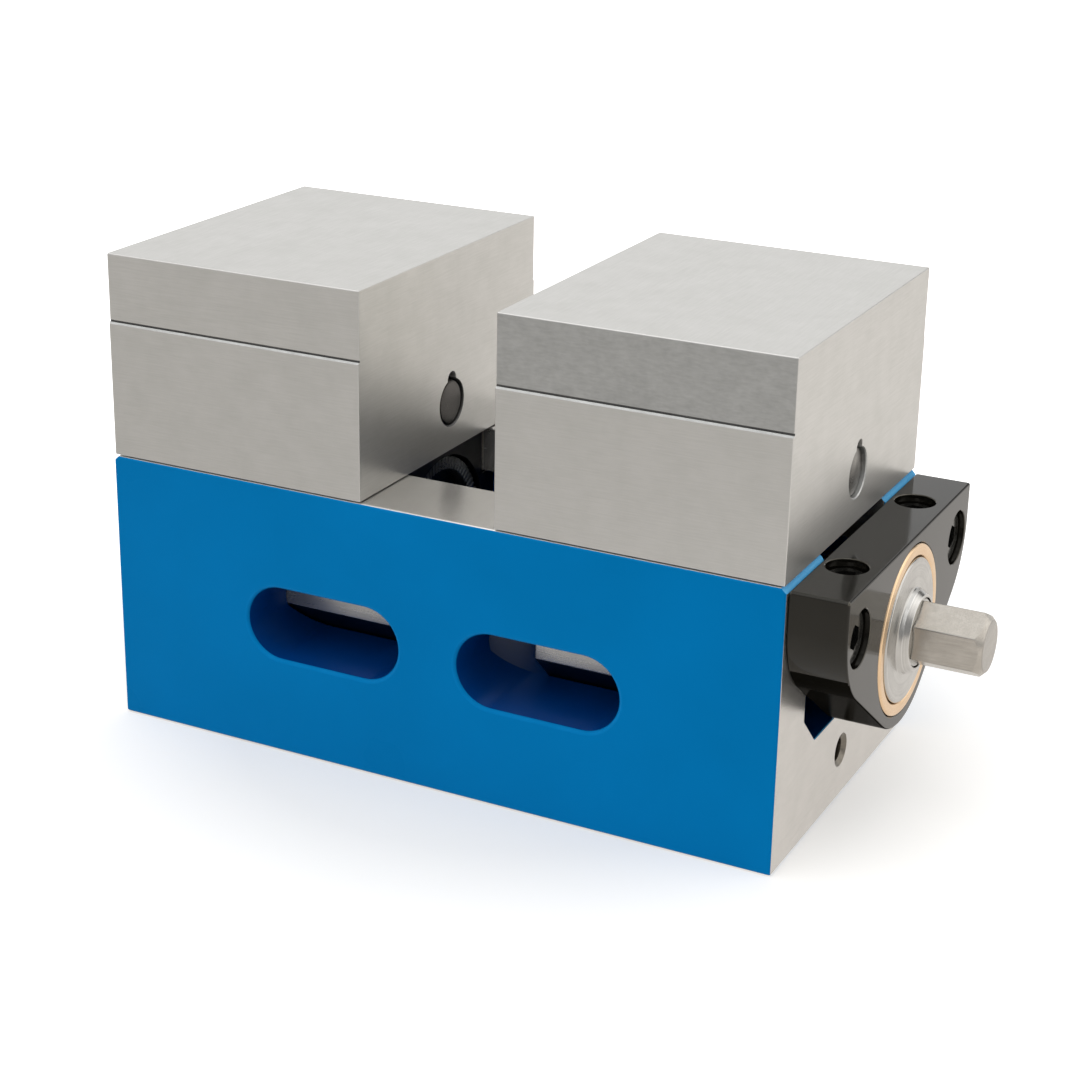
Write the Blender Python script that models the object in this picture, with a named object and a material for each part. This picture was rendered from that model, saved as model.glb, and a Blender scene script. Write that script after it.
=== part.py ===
"""Self-centring modular vise, in metres, +Z up.

The origin is the centre of the body's underside. A screw with a right-hand thread in its -X half and
a left-hand thread in its +X half draws two jaws together over a T-slotted body. Each jaw is pulled
forward and down by a wedge on its nut, through a half-ball that seats in the jaw.
"""

import math

import bmesh
import bpy
from mathutils import Matrix, Vector

# Fits
SEAT = 0.0003
RUNNING = 0.0003
MARGIN = 0.002

# Body
BODY_LENGTH = 0.2032
BODY_WIDTH = 0.1016
BODY_HEIGHT = 0.080
BODY_EDGE = 0.0008
END_CHAMFER = 0.0016
SLOT_WIDTH = 0.048
CHANNEL_WIDTH = 0.0626
CHANNEL_CHAMFER = 0.009
RAIL_THICKNESS = 0.014
SCREW_DEPTH = 0.0267

# Chip windows in the side walls
WINDOW_LENGTH = 0.0484
WINDOW_HEIGHT = 0.0214
WINDOW_SPACING = 0.0664
WINDOW_DEPTH = 0.0408
WINDOW_EDGE = 0.0008

# Tapped hole in the drive end, and the holes in the underside
END_HOLE_RADIUS = 0.0036
END_HOLE_SINK_RADIUS = 0.0048
END_HOLE_DEPTH = 0.018
END_HOLE_RISE = 0.0007
FOOT_HOLE_RADIUS = 0.0043
FOOT_HOLE_DEPTH = 0.016
FOOT_HOLE_INSET_X = 0.0254
FOOT_HOLE_INSET_Y = 0.0127
LOCATOR_SPACING = 0.096
LOCATOR_RADIUS = 0.010
LOCATOR_BORE_RADIUS = 0.008
LOCATOR_DEPTH = 0.010
LOCATOR_RECESS = 0.0005

# Bearing plate on the drive end
PLATE_THICKNESS = 0.0158
PLATE_DROP = 0.0008
PLATE_BORE_WALL = 0.0025
PLATE_FOOT_WALL = 0.0035
PLATE_SLOPE = math.radians(36)
PLATE_CORNER_RADIUS = 0.024
PLATE_EDGE = 0.0005

# Socket-head screws: those that hold the plate, and those in its top face
PLATE_SCREW_RADIUS = 0.004
PLATE_SCREW_LENGTH = 0.020
PLATE_SCREW_HEAD_RADIUS = 0.0071
PLATE_SCREW_HEAD_HEIGHT = 0.008
PLATE_SCREW_SOCKET = 0.007
PLATE_SCREW_WALL = 0.0087
PLATE_SCREW_EDGE = 0.010
PLATE_SCREW_RISE = 0.0127
TOP_SCREW_RADIUS = 0.003
TOP_SCREW_LENGTH = 0.010
TOP_SCREW_HEAD_RADIUS = 0.005
TOP_SCREW_HEAD_HEIGHT = 0.006
TOP_SCREW_SOCKET = 0.005
TOP_SCREW_WALL = 0.004
TOP_SCREW_SINK = 0.0022
TOP_SCREW_SET_BACK = 0.0009
HEAD_SINK = 0.0016
HEAD_CLEARANCE = 0.0006

# Dowels between the plate and the body
DOWEL_RADIUS = 0.003
DOWEL_LENGTH = 0.016
DOWEL_INSET = 0.004
DOWEL_DROP = 0.0008

# Bronze bushing, thrust collar and washer
BUSHING_WALL = 0.0037
BUSHING_FIT = 0.0002
BUSHING_PROUD = 0.0004
BUSHING_REAR = 0.002
COLLAR_THICKNESS = 0.0055
COLLAR_PROUD = 0.0003
HUB_WALL = 0.0023
HUB_TIP_WALL = 0.0007
HUB_LENGTH = 0.0030
WASHER_WIDTH = 0.0078

# Lead screw
JOURNAL_CLEARANCE = 0.00003
THREAD_RADIUS = 0.012
THREAD_DEPTH = 0.00275
LEAD = 0.005
THREAD_START = 0.006
SHOULDER_INSET = 0.0076
SHOULDER_THICKNESS = 0.0015
TAIL_INSET = 0.0116
TAIL_CHAMFER = 0.0015
HEX_ACROSS_FLATS = 0.01588
HEX_LENGTH = 0.0186
HEX_CHAMFER_LENGTH = 0.0028
HEX_TIP_RADIUS = 0.0066

# Jaws
JAW_GAP = 0.0406
JAW_LENGTH = 0.0808
JAW_HEIGHT = 0.0584
JAW_STEP_HEIGHT = 0.0390
JAW_SIDE_RELIEF = 0.0005
JAW_EDGE = 0.0004
PLUG_RADIUS = 0.0066
PLUG_FIT = 0.0002
PLUG_SINK = 0.0004
REAR_PLUG_SINK = 0.0012
PLUG_EDGE = 0.0006
PLUG_HEIGHT = 0.0145
NOTCH_RADIUS = 0.0023
NOTCH_DEPTH = 0.003

# Nuts, their wedge heads and the half-balls
NUT_FRONT = 0.0026
NUT_LENGTH = 0.0514
NUT_EDGE = 0.0006
RING_SEAT = 0.012
RING_GAP = 0.0007
WEDGE_ANGLE = math.radians(60)
WEDGE_SETBACK = 0.0195
WEDGE_HEIGHT = 0.024
WEDGE_WIDTH = 0.038
WEDGE_BACK = 0.044
POCKET_CLEARANCE = 0.0015
BALL_RADIUS = 0.0105
SPIGOT_LENGTH = 0.0045
RING_COVER = 0.0033
RING_FLOOR = 0.0022
RING_WIDTH = 0.0041
RING_THICKNESS = 0.0076

# Facets round a full circle
FINE = 40
MEDIUM = 24
COARSE = 16
THREAD_FACETS = 16

PLATE_BACK = BODY_LENGTH / 2 + SEAT
PLATE_FACE = PLATE_BACK + PLATE_THICKNESS
PLATE_TOP = BODY_HEIGHT - PLATE_DROP
RAIL_UNDERSIDE = BODY_HEIGHT - RAIL_THICKNESS
SCREW_HEIGHT = BODY_HEIGHT - SCREW_DEPTH
BED = SCREW_DEPTH
RING_RADIUS = SCREW_DEPTH - RING_COVER
SPIGOT_RADIUS = RING_RADIUS - RING_WIDTH
CHANNEL_FLOOR = SCREW_HEIGHT - RING_RADIUS - RING_GAP - RING_FLOOR
WINDOW_CENTRE_HEIGHT = BODY_HEIGHT - WINDOW_DEPTH
END_HOLE_HEIGHT = CHANNEL_FLOOR / 2 + END_HOLE_RISE
FOOT_HOLE_SPACING_X = BODY_LENGTH - 2 * FOOT_HOLE_INSET_X
FOOT_HOLE_SPACING_Y = BODY_WIDTH - 2 * FOOT_HOLE_INSET_Y
BUSHING_RADIUS = SCREW_DEPTH - PLATE_DROP - PLATE_BORE_WALL
COLLAR_RADIUS = BUSHING_RADIUS - BUSHING_WALL
PLATE_ROUND_RADIUS = BUSHING_RADIUS + PLATE_FOOT_WALL
PLATE_SCREW_SPACING = CHANNEL_WIDTH + 2 * PLATE_SCREW_WALL
PLATE_SCREW_HEIGHT = SCREW_HEIGHT + PLATE_SCREW_RISE
PLATE_WIDTH = PLATE_SCREW_SPACING + 2 * PLATE_SCREW_EDGE
TOP_SCREW_SPACING = 2 * (BUSHING_RADIUS + TOP_SCREW_WALL)
DOWEL_SPACING = PLATE_SCREW_SPACING - 2 * DOWEL_INSET
DOWEL_HEIGHT = SCREW_HEIGHT - DOWEL_DROP
JOURNAL_RADIUS = HEX_ACROSS_FLATS / math.sqrt(3) + JOURNAL_CLEARANCE
SHOULDER_X = BODY_LENGTH / 2 - SHOULDER_INSET
TAIL_X = BODY_LENGTH / 2 - TAIL_INSET
COLLAR_FACE = PLATE_FACE + BUSHING_PROUD + COLLAR_PROUD
HUB_RADIUS = JOURNAL_RADIUS + HUB_WALL
HUB_TIP_RADIUS = JOURNAL_RADIUS + HUB_TIP_WALL
HUB_TIP = COLLAR_FACE + HUB_LENGTH
WASHER_RADIUS = JOURNAL_RADIUS + WASHER_WIDTH
PLUG_Z = BED + PLUG_HEIGHT

ALONG_X = Matrix(((0, 0, 1), (1, 0, 0), (0, 1, 0))).to_4x4()
ALONG_Y = Matrix(((0, 1, 0), (0, 0, 1), (1, 0, 0))).to_4x4()


def clear_scene():
    for obj in list(bpy.data.objects):
        bpy.data.objects.remove(obj)


def make_material(name, color, roughness, metallic):
    material = bpy.data.materials.new(name)
    material.use_nodes = True
    shader = material.node_tree.nodes["Principled BSDF"]
    shader.inputs["Base Color"].default_value = (*color, 1)
    shader.inputs["Roughness"].default_value = roughness
    shader.inputs["Metallic"].default_value = metallic
    return material


def add_empty(name, location, rotation_z=0.0):
    empty = bpy.data.objects.new(name, None)
    empty.location = location
    empty.rotation_euler = (0, 0, rotation_z)
    bpy.context.scene.collection.objects.link(empty)
    return empty


def add_object(name, bm, placement, material=None, parent=None):
    """Makes an object of the mesh and stands it at its placement, in its parent's frame."""
    bmesh.ops.recalc_face_normals(bm, faces=bm.faces)
    mesh = bpy.data.meshes.new(name)
    bm.to_mesh(mesh)
    bm.free()
    mesh.shade_smooth()
    mesh.set_sharp_from_angle(angle=math.radians(30))
    obj = bpy.data.objects.new(name, mesh)
    if material:
        mesh.materials.append(material)
    bpy.context.scene.collection.objects.link(obj)
    obj.parent = parent
    obj.matrix_local = placement
    return obj


def combine(target, operation, tool):
    modifier = target.modifiers.new(tool.name, "BOOLEAN")
    modifier.operation = operation
    modifier.object = tool
    tool.hide_render = True
    tool.display_type = "WIRE"


def circle(radius, facets, centre=(0.0, 0.0)):
    turn = math.tau / facets
    return [
        (centre[0] + radius * math.cos(i * turn), centre[1] + radius * math.sin(i * turn))
        for i in range(facets)
    ]


def arc(centre, radius, start, end, steps):
    """Points along an arc, both ends included."""
    angles = [start + (end - start) * i / steps for i in range(steps + 1)]
    return [(centre[0] + radius * math.cos(a), centre[1] + radius * math.sin(a)) for a in angles]


def grown(outline, distance):
    """The counterclockwise outline with each side moved outwards by the distance."""
    result = []
    for i, point in enumerate(outline):
        before = Vector(point) - Vector(outline[i - 1])
        after = Vector(outline[(i + 1) % len(outline)]) - Vector(point)
        normal_before = Vector((before.y, -before.x)).normalized()
        normal_after = Vector((after.y, -after.x)).normalized()
        miter = (normal_before + normal_after) / (1 + normal_before.dot(normal_after))
        result.append(tuple(Vector(point) + miter * distance))
    return result


def loft(sections):
    """A closed solid through outlines with equal counts, each given as (height, outline)."""
    bm = bmesh.new()
    rings = [[bm.verts.new((x, y, height)) for x, y in outline] for height, outline in sections]
    for lower, upper in zip(rings, rings[1:]):
        for i in range(len(lower)):
            bm.faces.new((lower[i - 1], lower[i], upper[i], upper[i - 1]))
    bm.faces.new(rings[0])
    bm.faces.new(rings[-1])
    return bm


def prism(outline, start, end, edge=0.0):
    """The outline extruded from start to end, with both end rims chamfered by the edge."""
    if not edge:
        return loft([(start, outline), (end, outline)])
    rim = grown(outline, -edge)
    return loft([(start, rim), (start + edge, outline), (end - edge, outline), (end, rim)])


def turned(profile, facets, closed=False):
    """A profile of (radius, height) points spun about Z. A closed profile makes a ring."""
    bm = bmesh.new()
    verts = [bm.verts.new((radius, 0, height)) for radius, height in profile]
    edges = [bm.edges.new(pair) for pair in zip(verts, verts[1:])]
    if closed:
        edges.append(bm.edges.new((verts[-1], verts[0])))
    bmesh.ops.spin(
        bm,
        geom=verts + edges,
        axis=(0, 0, 1),
        cent=(0, 0, 0),
        angle=math.tau,
        steps=facets,
        use_merge=True,
    )
    bmesh.ops.remove_doubles(bm, verts=bm.verts, dist=1e-6)
    bmesh.ops.holes_fill(bm, edges=bm.edges)
    return bm


def half_outline(points):
    """Closes an outline that is given for +x, bottom to top, with its mirror image."""
    return points + [(-x, y) for x, y in reversed(points)]


def body_outline():
    half = BODY_WIDTH / 2
    channel = CHANNEL_WIDTH / 2
    return half_outline(
        [
            (half - BODY_EDGE, 0),
            (half, BODY_EDGE),
            (half, BODY_HEIGHT - BODY_EDGE),
            (half - BODY_EDGE, BODY_HEIGHT),
            (SLOT_WIDTH / 2, BODY_HEIGHT),
            (SLOT_WIDTH / 2, RAIL_UNDERSIDE),
            (channel, RAIL_UNDERSIDE),
            (channel, CHANNEL_FLOOR + CHANNEL_CHAMFER),
            (channel - CHANNEL_CHAMFER, CHANNEL_FLOOR),
        ]
    )


def window_outline():
    radius = WINDOW_HEIGHT / 2
    reach = WINDOW_LENGTH / 2 - radius
    quarter = math.pi / 2
    return arc((0, reach), radius, 0, 2 * quarter, 12) + arc(
        (0, -reach), radius, 2 * quarter, 4 * quarter, 12
    )


def cut_windows(body):
    outline = window_outline()
    half = BODY_WIDTH / 2
    for side, name in ((-1, "left"), (1, "right")):
        sections = [
            (-half - MARGIN, grown(outline, WINDOW_EDGE + MARGIN)),
            (-half + WINDOW_EDGE, outline),
            (half - WINDOW_EDGE, outline),
            (half + MARGIN, grown(outline, WINDOW_EDGE + MARGIN)),
        ]
        centre = Vector((side * WINDOW_SPACING / 2, 0, WINDOW_CENTRE_HEIGHT))
        cutter = add_object(
            f"cut_window_{name}", loft(sections), Matrix.Translation(centre) @ ALONG_Y
        )
        combine(body, "DIFFERENCE", cutter)


def cut_end_chamfers(body):
    reach = BODY_WIDTH / 2 + MARGIN
    for side, name in ((-1, "left"), (1, "right")):
        end = side * BODY_LENGTH / 2
        wedge = [
            (BODY_HEIGHT + MARGIN, end - side * (END_CHAMFER + MARGIN)),
            (BODY_HEIGHT - END_CHAMFER - MARGIN, end + side * MARGIN),
            (BODY_HEIGHT + MARGIN, end + side * MARGIN),
        ]
        cutter = add_object(f"cut_chamfer_{name}", prism(wedge, -reach, reach), ALONG_Y)
        combine(body, "DIFFERENCE", cutter)


def cut_round(target, name, profile, facets, placement, parent=None):
    cutter = add_object(name, turned(profile, facets), placement, parent=parent)
    combine(target, "DIFFERENCE", cutter)


def plug_profile(radius, start, end):
    return [(0, start), (radius, start), (radius, end), (0, end)]


def sides():
    """The two Y sides of the body, front first."""
    return ((-1, "front"), (1, "back"))


def make_body(material):
    half = BODY_LENGTH / 2
    outline = body_outline()
    body = add_object("vise_body", prism(outline, -half, half, BODY_EDGE), ALONG_X, material)
    cut_end_chamfers(body)
    cut_windows(body)
    sink = END_HOLE_SINK_RADIUS - END_HOLE_RADIUS
    hole = [
        (0, half - END_HOLE_DEPTH),
        (END_HOLE_RADIUS, half - END_HOLE_DEPTH),
        (END_HOLE_RADIUS, half - sink),
        (END_HOLE_SINK_RADIUS + MARGIN, half + MARGIN),
        (0, half + MARGIN),
    ]
    place = Matrix.Translation((0, 0, END_HOLE_HEIGHT)) @ ALONG_X
    cut_round(body, "cut_end_hole", hole, COARSE, place)
    for side, name in sides():
        shank = plug_profile(
            PLATE_SCREW_RADIUS + SEAT, plate_screw_tip() - SEAT, half + MARGIN
        )
        place = Matrix.Translation((0, side * PLATE_SCREW_SPACING / 2, PLATE_SCREW_HEIGHT))
        cut_round(body, f"cut_body_screw_{name}", shank, COARSE, place @ ALONG_X)
        dowel = plug_profile(DOWEL_RADIUS + SEAT, dowel_start() - SEAT, half + MARGIN)
        place = Matrix.Translation((0, side * DOWEL_SPACING / 2, DOWEL_HEIGHT))
        cut_round(body, f"cut_body_dowel_{name}", dowel, COARSE, place @ ALONG_X)
    for end, end_name in ((-1, "left"), (1, "right")):
        bore = plug_profile(LOCATOR_RADIUS + SEAT, -MARGIN, LOCATOR_DEPTH + LOCATOR_RECESS + SEAT)
        place = Matrix.Translation((end * LOCATOR_SPACING / 2, 0, 0))
        cut_round(body, f"cut_locator_{end_name}", bore, MEDIUM, place)
        for side, name in sides():
            foot = plug_profile(FOOT_HOLE_RADIUS, -MARGIN, FOOT_HOLE_DEPTH)
            spot = (end * FOOT_HOLE_SPACING_X / 2, side * FOOT_HOLE_SPACING_Y / 2, 0)
            cut_round(
                body, f"cut_foot_{end_name}_{name}", foot, COARSE, Matrix.Translation(spot)
            )


def make_locators(material):
    for end, name in ((-1, "left"), (1, "right")):
        profile = [
            (LOCATOR_BORE_RADIUS, LOCATOR_RECESS),
            (LOCATOR_RADIUS, LOCATOR_RECESS),
            (LOCATOR_RADIUS, LOCATOR_RECESS + LOCATOR_DEPTH),
            (LOCATOR_BORE_RADIUS, LOCATOR_RECESS + LOCATOR_DEPTH),
        ]
        place = Matrix.Translation((end * LOCATOR_SPACING / 2, 0, 0))
        add_object(f"locating_bushing_{name}", turned(profile, MEDIUM, True), place, material)


def plate_screw_seat():
    return PLATE_FACE - HEAD_SINK - PLATE_SCREW_HEAD_HEIGHT


def plate_screw_tip():
    return plate_screw_seat() - PLATE_SCREW_LENGTH


def top_screw_seat():
    return PLATE_TOP - TOP_SCREW_SINK - TOP_SCREW_HEAD_HEIGHT


def dowel_start():
    return PLATE_BACK - DOWEL_LENGTH / 2


def plate_outline():
    """The plate seen from the drive end: straight sides, rounded corners, and a round foot."""
    half = PLATE_WIDTH / 2
    sine = math.sin(PLATE_SLOPE)
    cosine = math.cos(PLATE_SLOPE)
    foot_y = PLATE_ROUND_RADIUS * sine
    foot_z = SCREW_HEIGHT - PLATE_ROUND_RADIUS * cosine
    corner_z = foot_z + (half - foot_y) * sine / cosine
    side_turn = math.pi / 2 - PLATE_SLOPE
    centre = (
        half - PLATE_CORNER_RADIUS,
        corner_z + PLATE_CORNER_RADIUS * math.tan(side_turn / 2),
    )
    quarter = math.pi / 2
    foot = arc((0, SCREW_HEIGHT), PLATE_ROUND_RADIUS, -quarter, PLATE_SLOPE - quarter, 7)
    corner = arc(centre, PLATE_CORNER_RADIUS, PLATE_SLOPE - quarter, 0, 9)
    right = foot[1:] + corner + [(half, PLATE_TOP)]
    return [foot[0]] + half_outline(right)


def make_plate(material):
    outline = plate_outline()
    plate = add_object(
        "bearing_plate", prism(outline, PLATE_BACK, PLATE_FACE, PLATE_EDGE), ALONG_X, material
    )
    bore = plug_profile(BUSHING_RADIUS + BUSHING_FIT, PLATE_BACK - MARGIN, PLATE_FACE + MARGIN)
    axis = Matrix.Translation((0, 0, SCREW_HEIGHT)) @ ALONG_X
    cut_round(plate, "cut_plate_bore", bore, FINE, axis)
    for side, name in sides():
        sink = PLATE_SCREW_HEAD_RADIUS + HEAD_CLEARANCE
        hole = [
            (0, PLATE_BACK - MARGIN),
            (PLATE_SCREW_RADIUS + SEAT, PLATE_BACK - MARGIN),
            (PLATE_SCREW_RADIUS + SEAT, plate_screw_seat() - SEAT),
            (sink, plate_screw_seat() - SEAT),
            (sink, PLATE_FACE + MARGIN),
            (0, PLATE_FACE + MARGIN),
        ]
        place = Matrix.Translation((0, side * PLATE_SCREW_SPACING / 2, PLATE_SCREW_HEIGHT))
        cut_round(plate, f"cut_plate_screw_{name}", hole, MEDIUM, place @ ALONG_X)
        dowel = plug_profile(
            DOWEL_RADIUS + SEAT, PLATE_BACK - MARGIN, dowel_start() + DOWEL_LENGTH + SEAT
        )
        place = Matrix.Translation((0, side * DOWEL_SPACING / 2, DOWEL_HEIGHT))
        cut_round(plate, f"cut_plate_dowel_{name}", dowel, COARSE, place @ ALONG_X)
        sink = TOP_SCREW_HEAD_RADIUS + HEAD_CLEARANCE
        tip = top_screw_seat() - TOP_SCREW_LENGTH
        hole = [
            (0, tip - SEAT),
            (TOP_SCREW_RADIUS + SEAT, tip - SEAT),
            (TOP_SCREW_RADIUS + SEAT, top_screw_seat() - SEAT),
            (sink, top_screw_seat() - SEAT),
            (sink, PLATE_TOP + MARGIN),
            (0, PLATE_TOP + MARGIN),
        ]
        place = Matrix.Translation((top_screw_x(), side * TOP_SCREW_SPACING / 2, 0))
        cut_round(plate, f"cut_plate_top_{name}", hole, MEDIUM, place)


def top_screw_x():
    return (PLATE_BACK + PLATE_FACE) / 2 - TOP_SCREW_SET_BACK


def make_cap_screw(name, sizes, placement, material):
    """A socket-head screw that stands on its seat at z = 0, head up."""
    radius, length, head_radius, head_height, socket = sizes
    edge = head_height / 12
    profile = [
        (0, -length),
        (radius - edge, -length),
        (radius, edge - length),
        (radius, 0),
        (head_radius, 0),
        (head_radius, head_height - edge),
        (head_radius - edge, head_height),
        (0, head_height),
    ]
    screw = add_object(name, turned(profile, MEDIUM), placement, material)
    hexagon = circle(socket / math.sqrt(3), 6)
    cutter = add_object(
        f"cut_{name}_socket", prism(hexagon, head_height / 2, head_height + MARGIN), placement
    )
    combine(screw, "DIFFERENCE", cutter)


def make_plate_fasteners(black, steel):
    plate_sizes = (
        PLATE_SCREW_RADIUS,
        PLATE_SCREW_LENGTH,
        PLATE_SCREW_HEAD_RADIUS,
        PLATE_SCREW_HEAD_HEIGHT,
        PLATE_SCREW_SOCKET,
    )
    top_sizes = (
        TOP_SCREW_RADIUS,
        TOP_SCREW_LENGTH,
        TOP_SCREW_HEAD_RADIUS,
        TOP_SCREW_HEAD_HEIGHT,
        TOP_SCREW_SOCKET,
    )
    for side, name in sides():
        spot = (plate_screw_seat(), side * PLATE_SCREW_SPACING / 2, PLATE_SCREW_HEIGHT)
        place = Matrix.Translation(spot) @ ALONG_X
        make_cap_screw(f"plate_screw_{name}", plate_sizes, place, black)
        spot = (top_screw_x(), side * TOP_SCREW_SPACING / 2, top_screw_seat())
        make_cap_screw(f"top_screw_{name}", top_sizes, Matrix.Translation(spot), black)
        edge = DOWEL_RADIUS / 6
        profile = [
            (0, 0),
            (DOWEL_RADIUS - edge, 0),
            (DOWEL_RADIUS, edge),
            (DOWEL_RADIUS, DOWEL_LENGTH - edge),
            (DOWEL_RADIUS - edge, DOWEL_LENGTH),
            (0, DOWEL_LENGTH),
        ]
        spot = (dowel_start(), side * DOWEL_SPACING / 2, DOWEL_HEIGHT)
        place = Matrix.Translation(spot) @ ALONG_X
        add_object(f"plate_dowel_{name}", turned(profile, COARSE), place, steel)


def bushing_back():
    return PLATE_BACK - BUSHING_REAR


def collar_back():
    return COLLAR_FACE - COLLAR_THICKNESS


def make_bushing(material):
    """The bronze ring in the plate, counterbored for the thrust collar."""
    bore = JOURNAL_RADIUS + RUNNING
    recess = COLLAR_RADIUS + BUSHING_FIT
    face = PLATE_FACE + BUSHING_PROUD
    profile = [
        (bore, bushing_back()),
        (BUSHING_RADIUS, bushing_back()),
        (BUSHING_RADIUS, face),
        (recess, face),
        (recess, collar_back() - RUNNING),
        (bore, collar_back() - RUNNING),
    ]
    axis = Matrix.Translation((0, 0, SCREW_HEIGHT)) @ ALONG_X
    add_object("screw_bushing", turned(profile, FINE, True), axis, material)


def thread_rings(bm, start, end, hand):
    """A trapezoidal thread from start to end. Each column of points is moved along by its share of
    the lead, so the crests run true, and the depth fades in and out over one turn at the ends."""
    steps = THREAD_FACETS
    stations = ((0.0, 0), (0.37, 0), (0.5, 1), (0.87, 1))
    per_turn = len(stations)
    turns = int((end - start) / LEAD) - 1
    root = THREAD_RADIUS - THREAD_DEPTH
    begin = (start + end) / 2 - (turns + 1) * LEAD / 2
    columns = []
    for j in range(steps):
        angle = hand * math.tau * j / steps
        column = []
        for i in range((turns + (j == 0)) * per_turn + 1):
            share, high = stations[i % per_turn]
            turn = i // per_turn + j / steps
            fade = max(0.0, min(1.0, turn, turns - turn))
            radius = root + THREAD_DEPTH * high * fade
            height = begin + LEAD * (i // per_turn + share + j / steps)
            column.append(
                bm.verts.new((radius * math.cos(angle), radius * math.sin(angle), height))
            )
        columns.append(column)
    for j in range(steps):
        near = columns[j]
        far = columns[j + 1] if j + 1 < steps else columns[0][per_turn:]
        for i in range(turns * per_turn):
            bm.faces.new((near[i], near[i + 1], far[i + 1], far[i]))
    return columns, turns * per_turn, per_turn


def plain_ring(bm, radius, height, hand):
    return [
        bm.verts.new((radius * x, hand * radius * y, height)) for x, y in circle(1, THREAD_FACETS)
    ]


def join_rings(bm, lower, upper):
    for i in range(len(lower)):
        bm.faces.new((lower[i - 1], lower[i], upper[i], upper[i - 1]))


def join_thread(bm, lower, start, end, upper, hand):
    """Fills the shaft between two plain rings with a thread, and closes it to both of them."""
    columns, last, per_turn = thread_rings(bm, start, end, hand)
    steps = len(columns)
    for j in range(steps - 1):
        bm.faces.new((lower[j], lower[j + 1], columns[j + 1][0], columns[j][0]))
    seam = columns[0][: per_turn + 1]
    bm.faces.new([lower[-1], lower[0], *seam, columns[-1][0]])
    for j in range(1, steps):
        after = columns[j + 1][last] if j + 1 < steps else columns[0][last + per_turn]
        bm.faces.new((columns[j][last], after, upper[(j + 1) % steps], upper[j]))
    seam = columns[0][last:]
    bm.faces.new([*seam, upper[0], upper[1], columns[1][last]])


def shaft_mesh():
    """The turned screw blank about Z with its two threads. The left half is mirrored in hand."""
    bm = bmesh.new()
    root = THREAD_RADIUS - THREAD_DEPTH
    rings = [
        plain_ring(bm, root - TAIL_CHAMFER, -TAIL_X, 1),
        plain_ring(bm, root, TAIL_CHAMFER - TAIL_X, 1),
    ]
    centre_left = plain_ring(bm, root, -THREAD_START, 1)
    join_rings(bm, rings[0], rings[1])
    join_thread(bm, rings[1], TAIL_CHAMFER - TAIL_X, -THREAD_START, centre_left, 1)
    centre_right = plain_ring(bm, root, THREAD_START, 1)
    join_rings(bm, centre_left, centre_right)
    shoulder = SHOULDER_X - SHOULDER_THICKNESS
    blank = plain_ring(bm, root, shoulder, 1)
    mirrored = [centre_right[0], *reversed(centre_right[1:])]
    join_thread(
        bm, mirrored, THREAD_START, shoulder, [blank[0], *reversed(blank[1:])], -1
    )
    hex_radius = HEX_ACROSS_FLATS / math.sqrt(3) / math.cos(math.pi / THREAD_FACETS)
    hex_end = HUB_TIP + HEX_LENGTH
    profile = [
        (THREAD_RADIUS, shoulder),
        (THREAD_RADIUS, SHOULDER_X),
        (JOURNAL_RADIUS, SHOULDER_X),
        (JOURNAL_RADIUS, HUB_TIP - SEAT),
        (hex_radius, HUB_TIP - SEAT / 2),
        (hex_radius, hex_end - HEX_CHAMFER_LENGTH),
        (HEX_TIP_RADIUS, hex_end),
    ]
    previous = blank
    for radius, height in profile:
        ring = plain_ring(bm, radius, height, 1)
        join_rings(bm, previous, ring)
        previous = ring
    bm.faces.new(rings[0])
    bm.faces.new(previous)
    return bm


def make_screw(material, parent):
    screw = add_object("lead_screw", shaft_mesh(), ALONG_X, material, parent)
    start = HUB_TIP - SEAT
    end = HUB_TIP + HEX_LENGTH + MARGIN
    blank = circle(HEX_ACROSS_FLATS, MEDIUM)
    cutter = add_object("cut_hex", prism(blank, start, end), ALONG_X, parent=parent)
    hexagon = circle(HEX_ACROSS_FLATS / math.sqrt(3), 6)
    core = prism(hexagon, start - MARGIN, end + MARGIN)
    # A corner of the hexagon stands straight up.
    upright = ALONG_X @ Matrix.Rotation(math.pi / 2, 4, "Z")
    combine(cutter, "DIFFERENCE", add_object("keep_hex", core, upright, parent=parent))
    combine(screw, "DIFFERENCE", cutter)


def make_collar(material, parent):
    """The steel disc in the bushing, with the tapered hub that the drive hexagon comes out of."""
    bore = JOURNAL_RADIUS + SEAT
    profile = [
        (bore, collar_back()),
        (COLLAR_RADIUS, collar_back()),
        (COLLAR_RADIUS, COLLAR_FACE),
        (HUB_RADIUS, COLLAR_FACE),
        (HUB_RADIUS, COLLAR_FACE + HUB_LENGTH / 4),
        (HUB_TIP_RADIUS, HUB_TIP),
        (bore, HUB_TIP),
    ]
    add_object("thrust_collar", turned(profile, FINE, True), ALONG_X, material, parent)


def make_washer(material, parent):
    start = SHOULDER_X + SEAT
    end = bushing_back() - RUNNING
    bore = JOURNAL_RADIUS + SEAT
    profile = [(bore, start), (WASHER_RADIUS, start), (WASHER_RADIUS, end), (bore, end)]
    add_object("thrust_washer", turned(profile, MEDIUM, True), ALONG_X, material, parent)


def jaw_outline():
    """The jaw seen along the slot. Its upper part is relieved a little at both sides."""
    low = BED + SEAT
    half = BODY_WIDTH / 2
    upper = half - JAW_SIDE_RELIEF
    step = low + JAW_STEP_HEIGHT
    top = low + JAW_HEIGHT
    return half_outline(
        [
            (half - JAW_EDGE, low),
            (half, low + JAW_EDGE),
            (half, step - JAW_EDGE),
            (upper, step),
            (upper, top - JAW_EDGE),
            (upper - JAW_EDGE, top),
        ]
    )


def wedge_x(height):
    """How far behind the jaw's face the wedge surface lies, at a height above the bed."""
    return WEDGE_SETBACK - (height - PLUG_HEIGHT) / math.tan(WEDGE_ANGLE)


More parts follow.
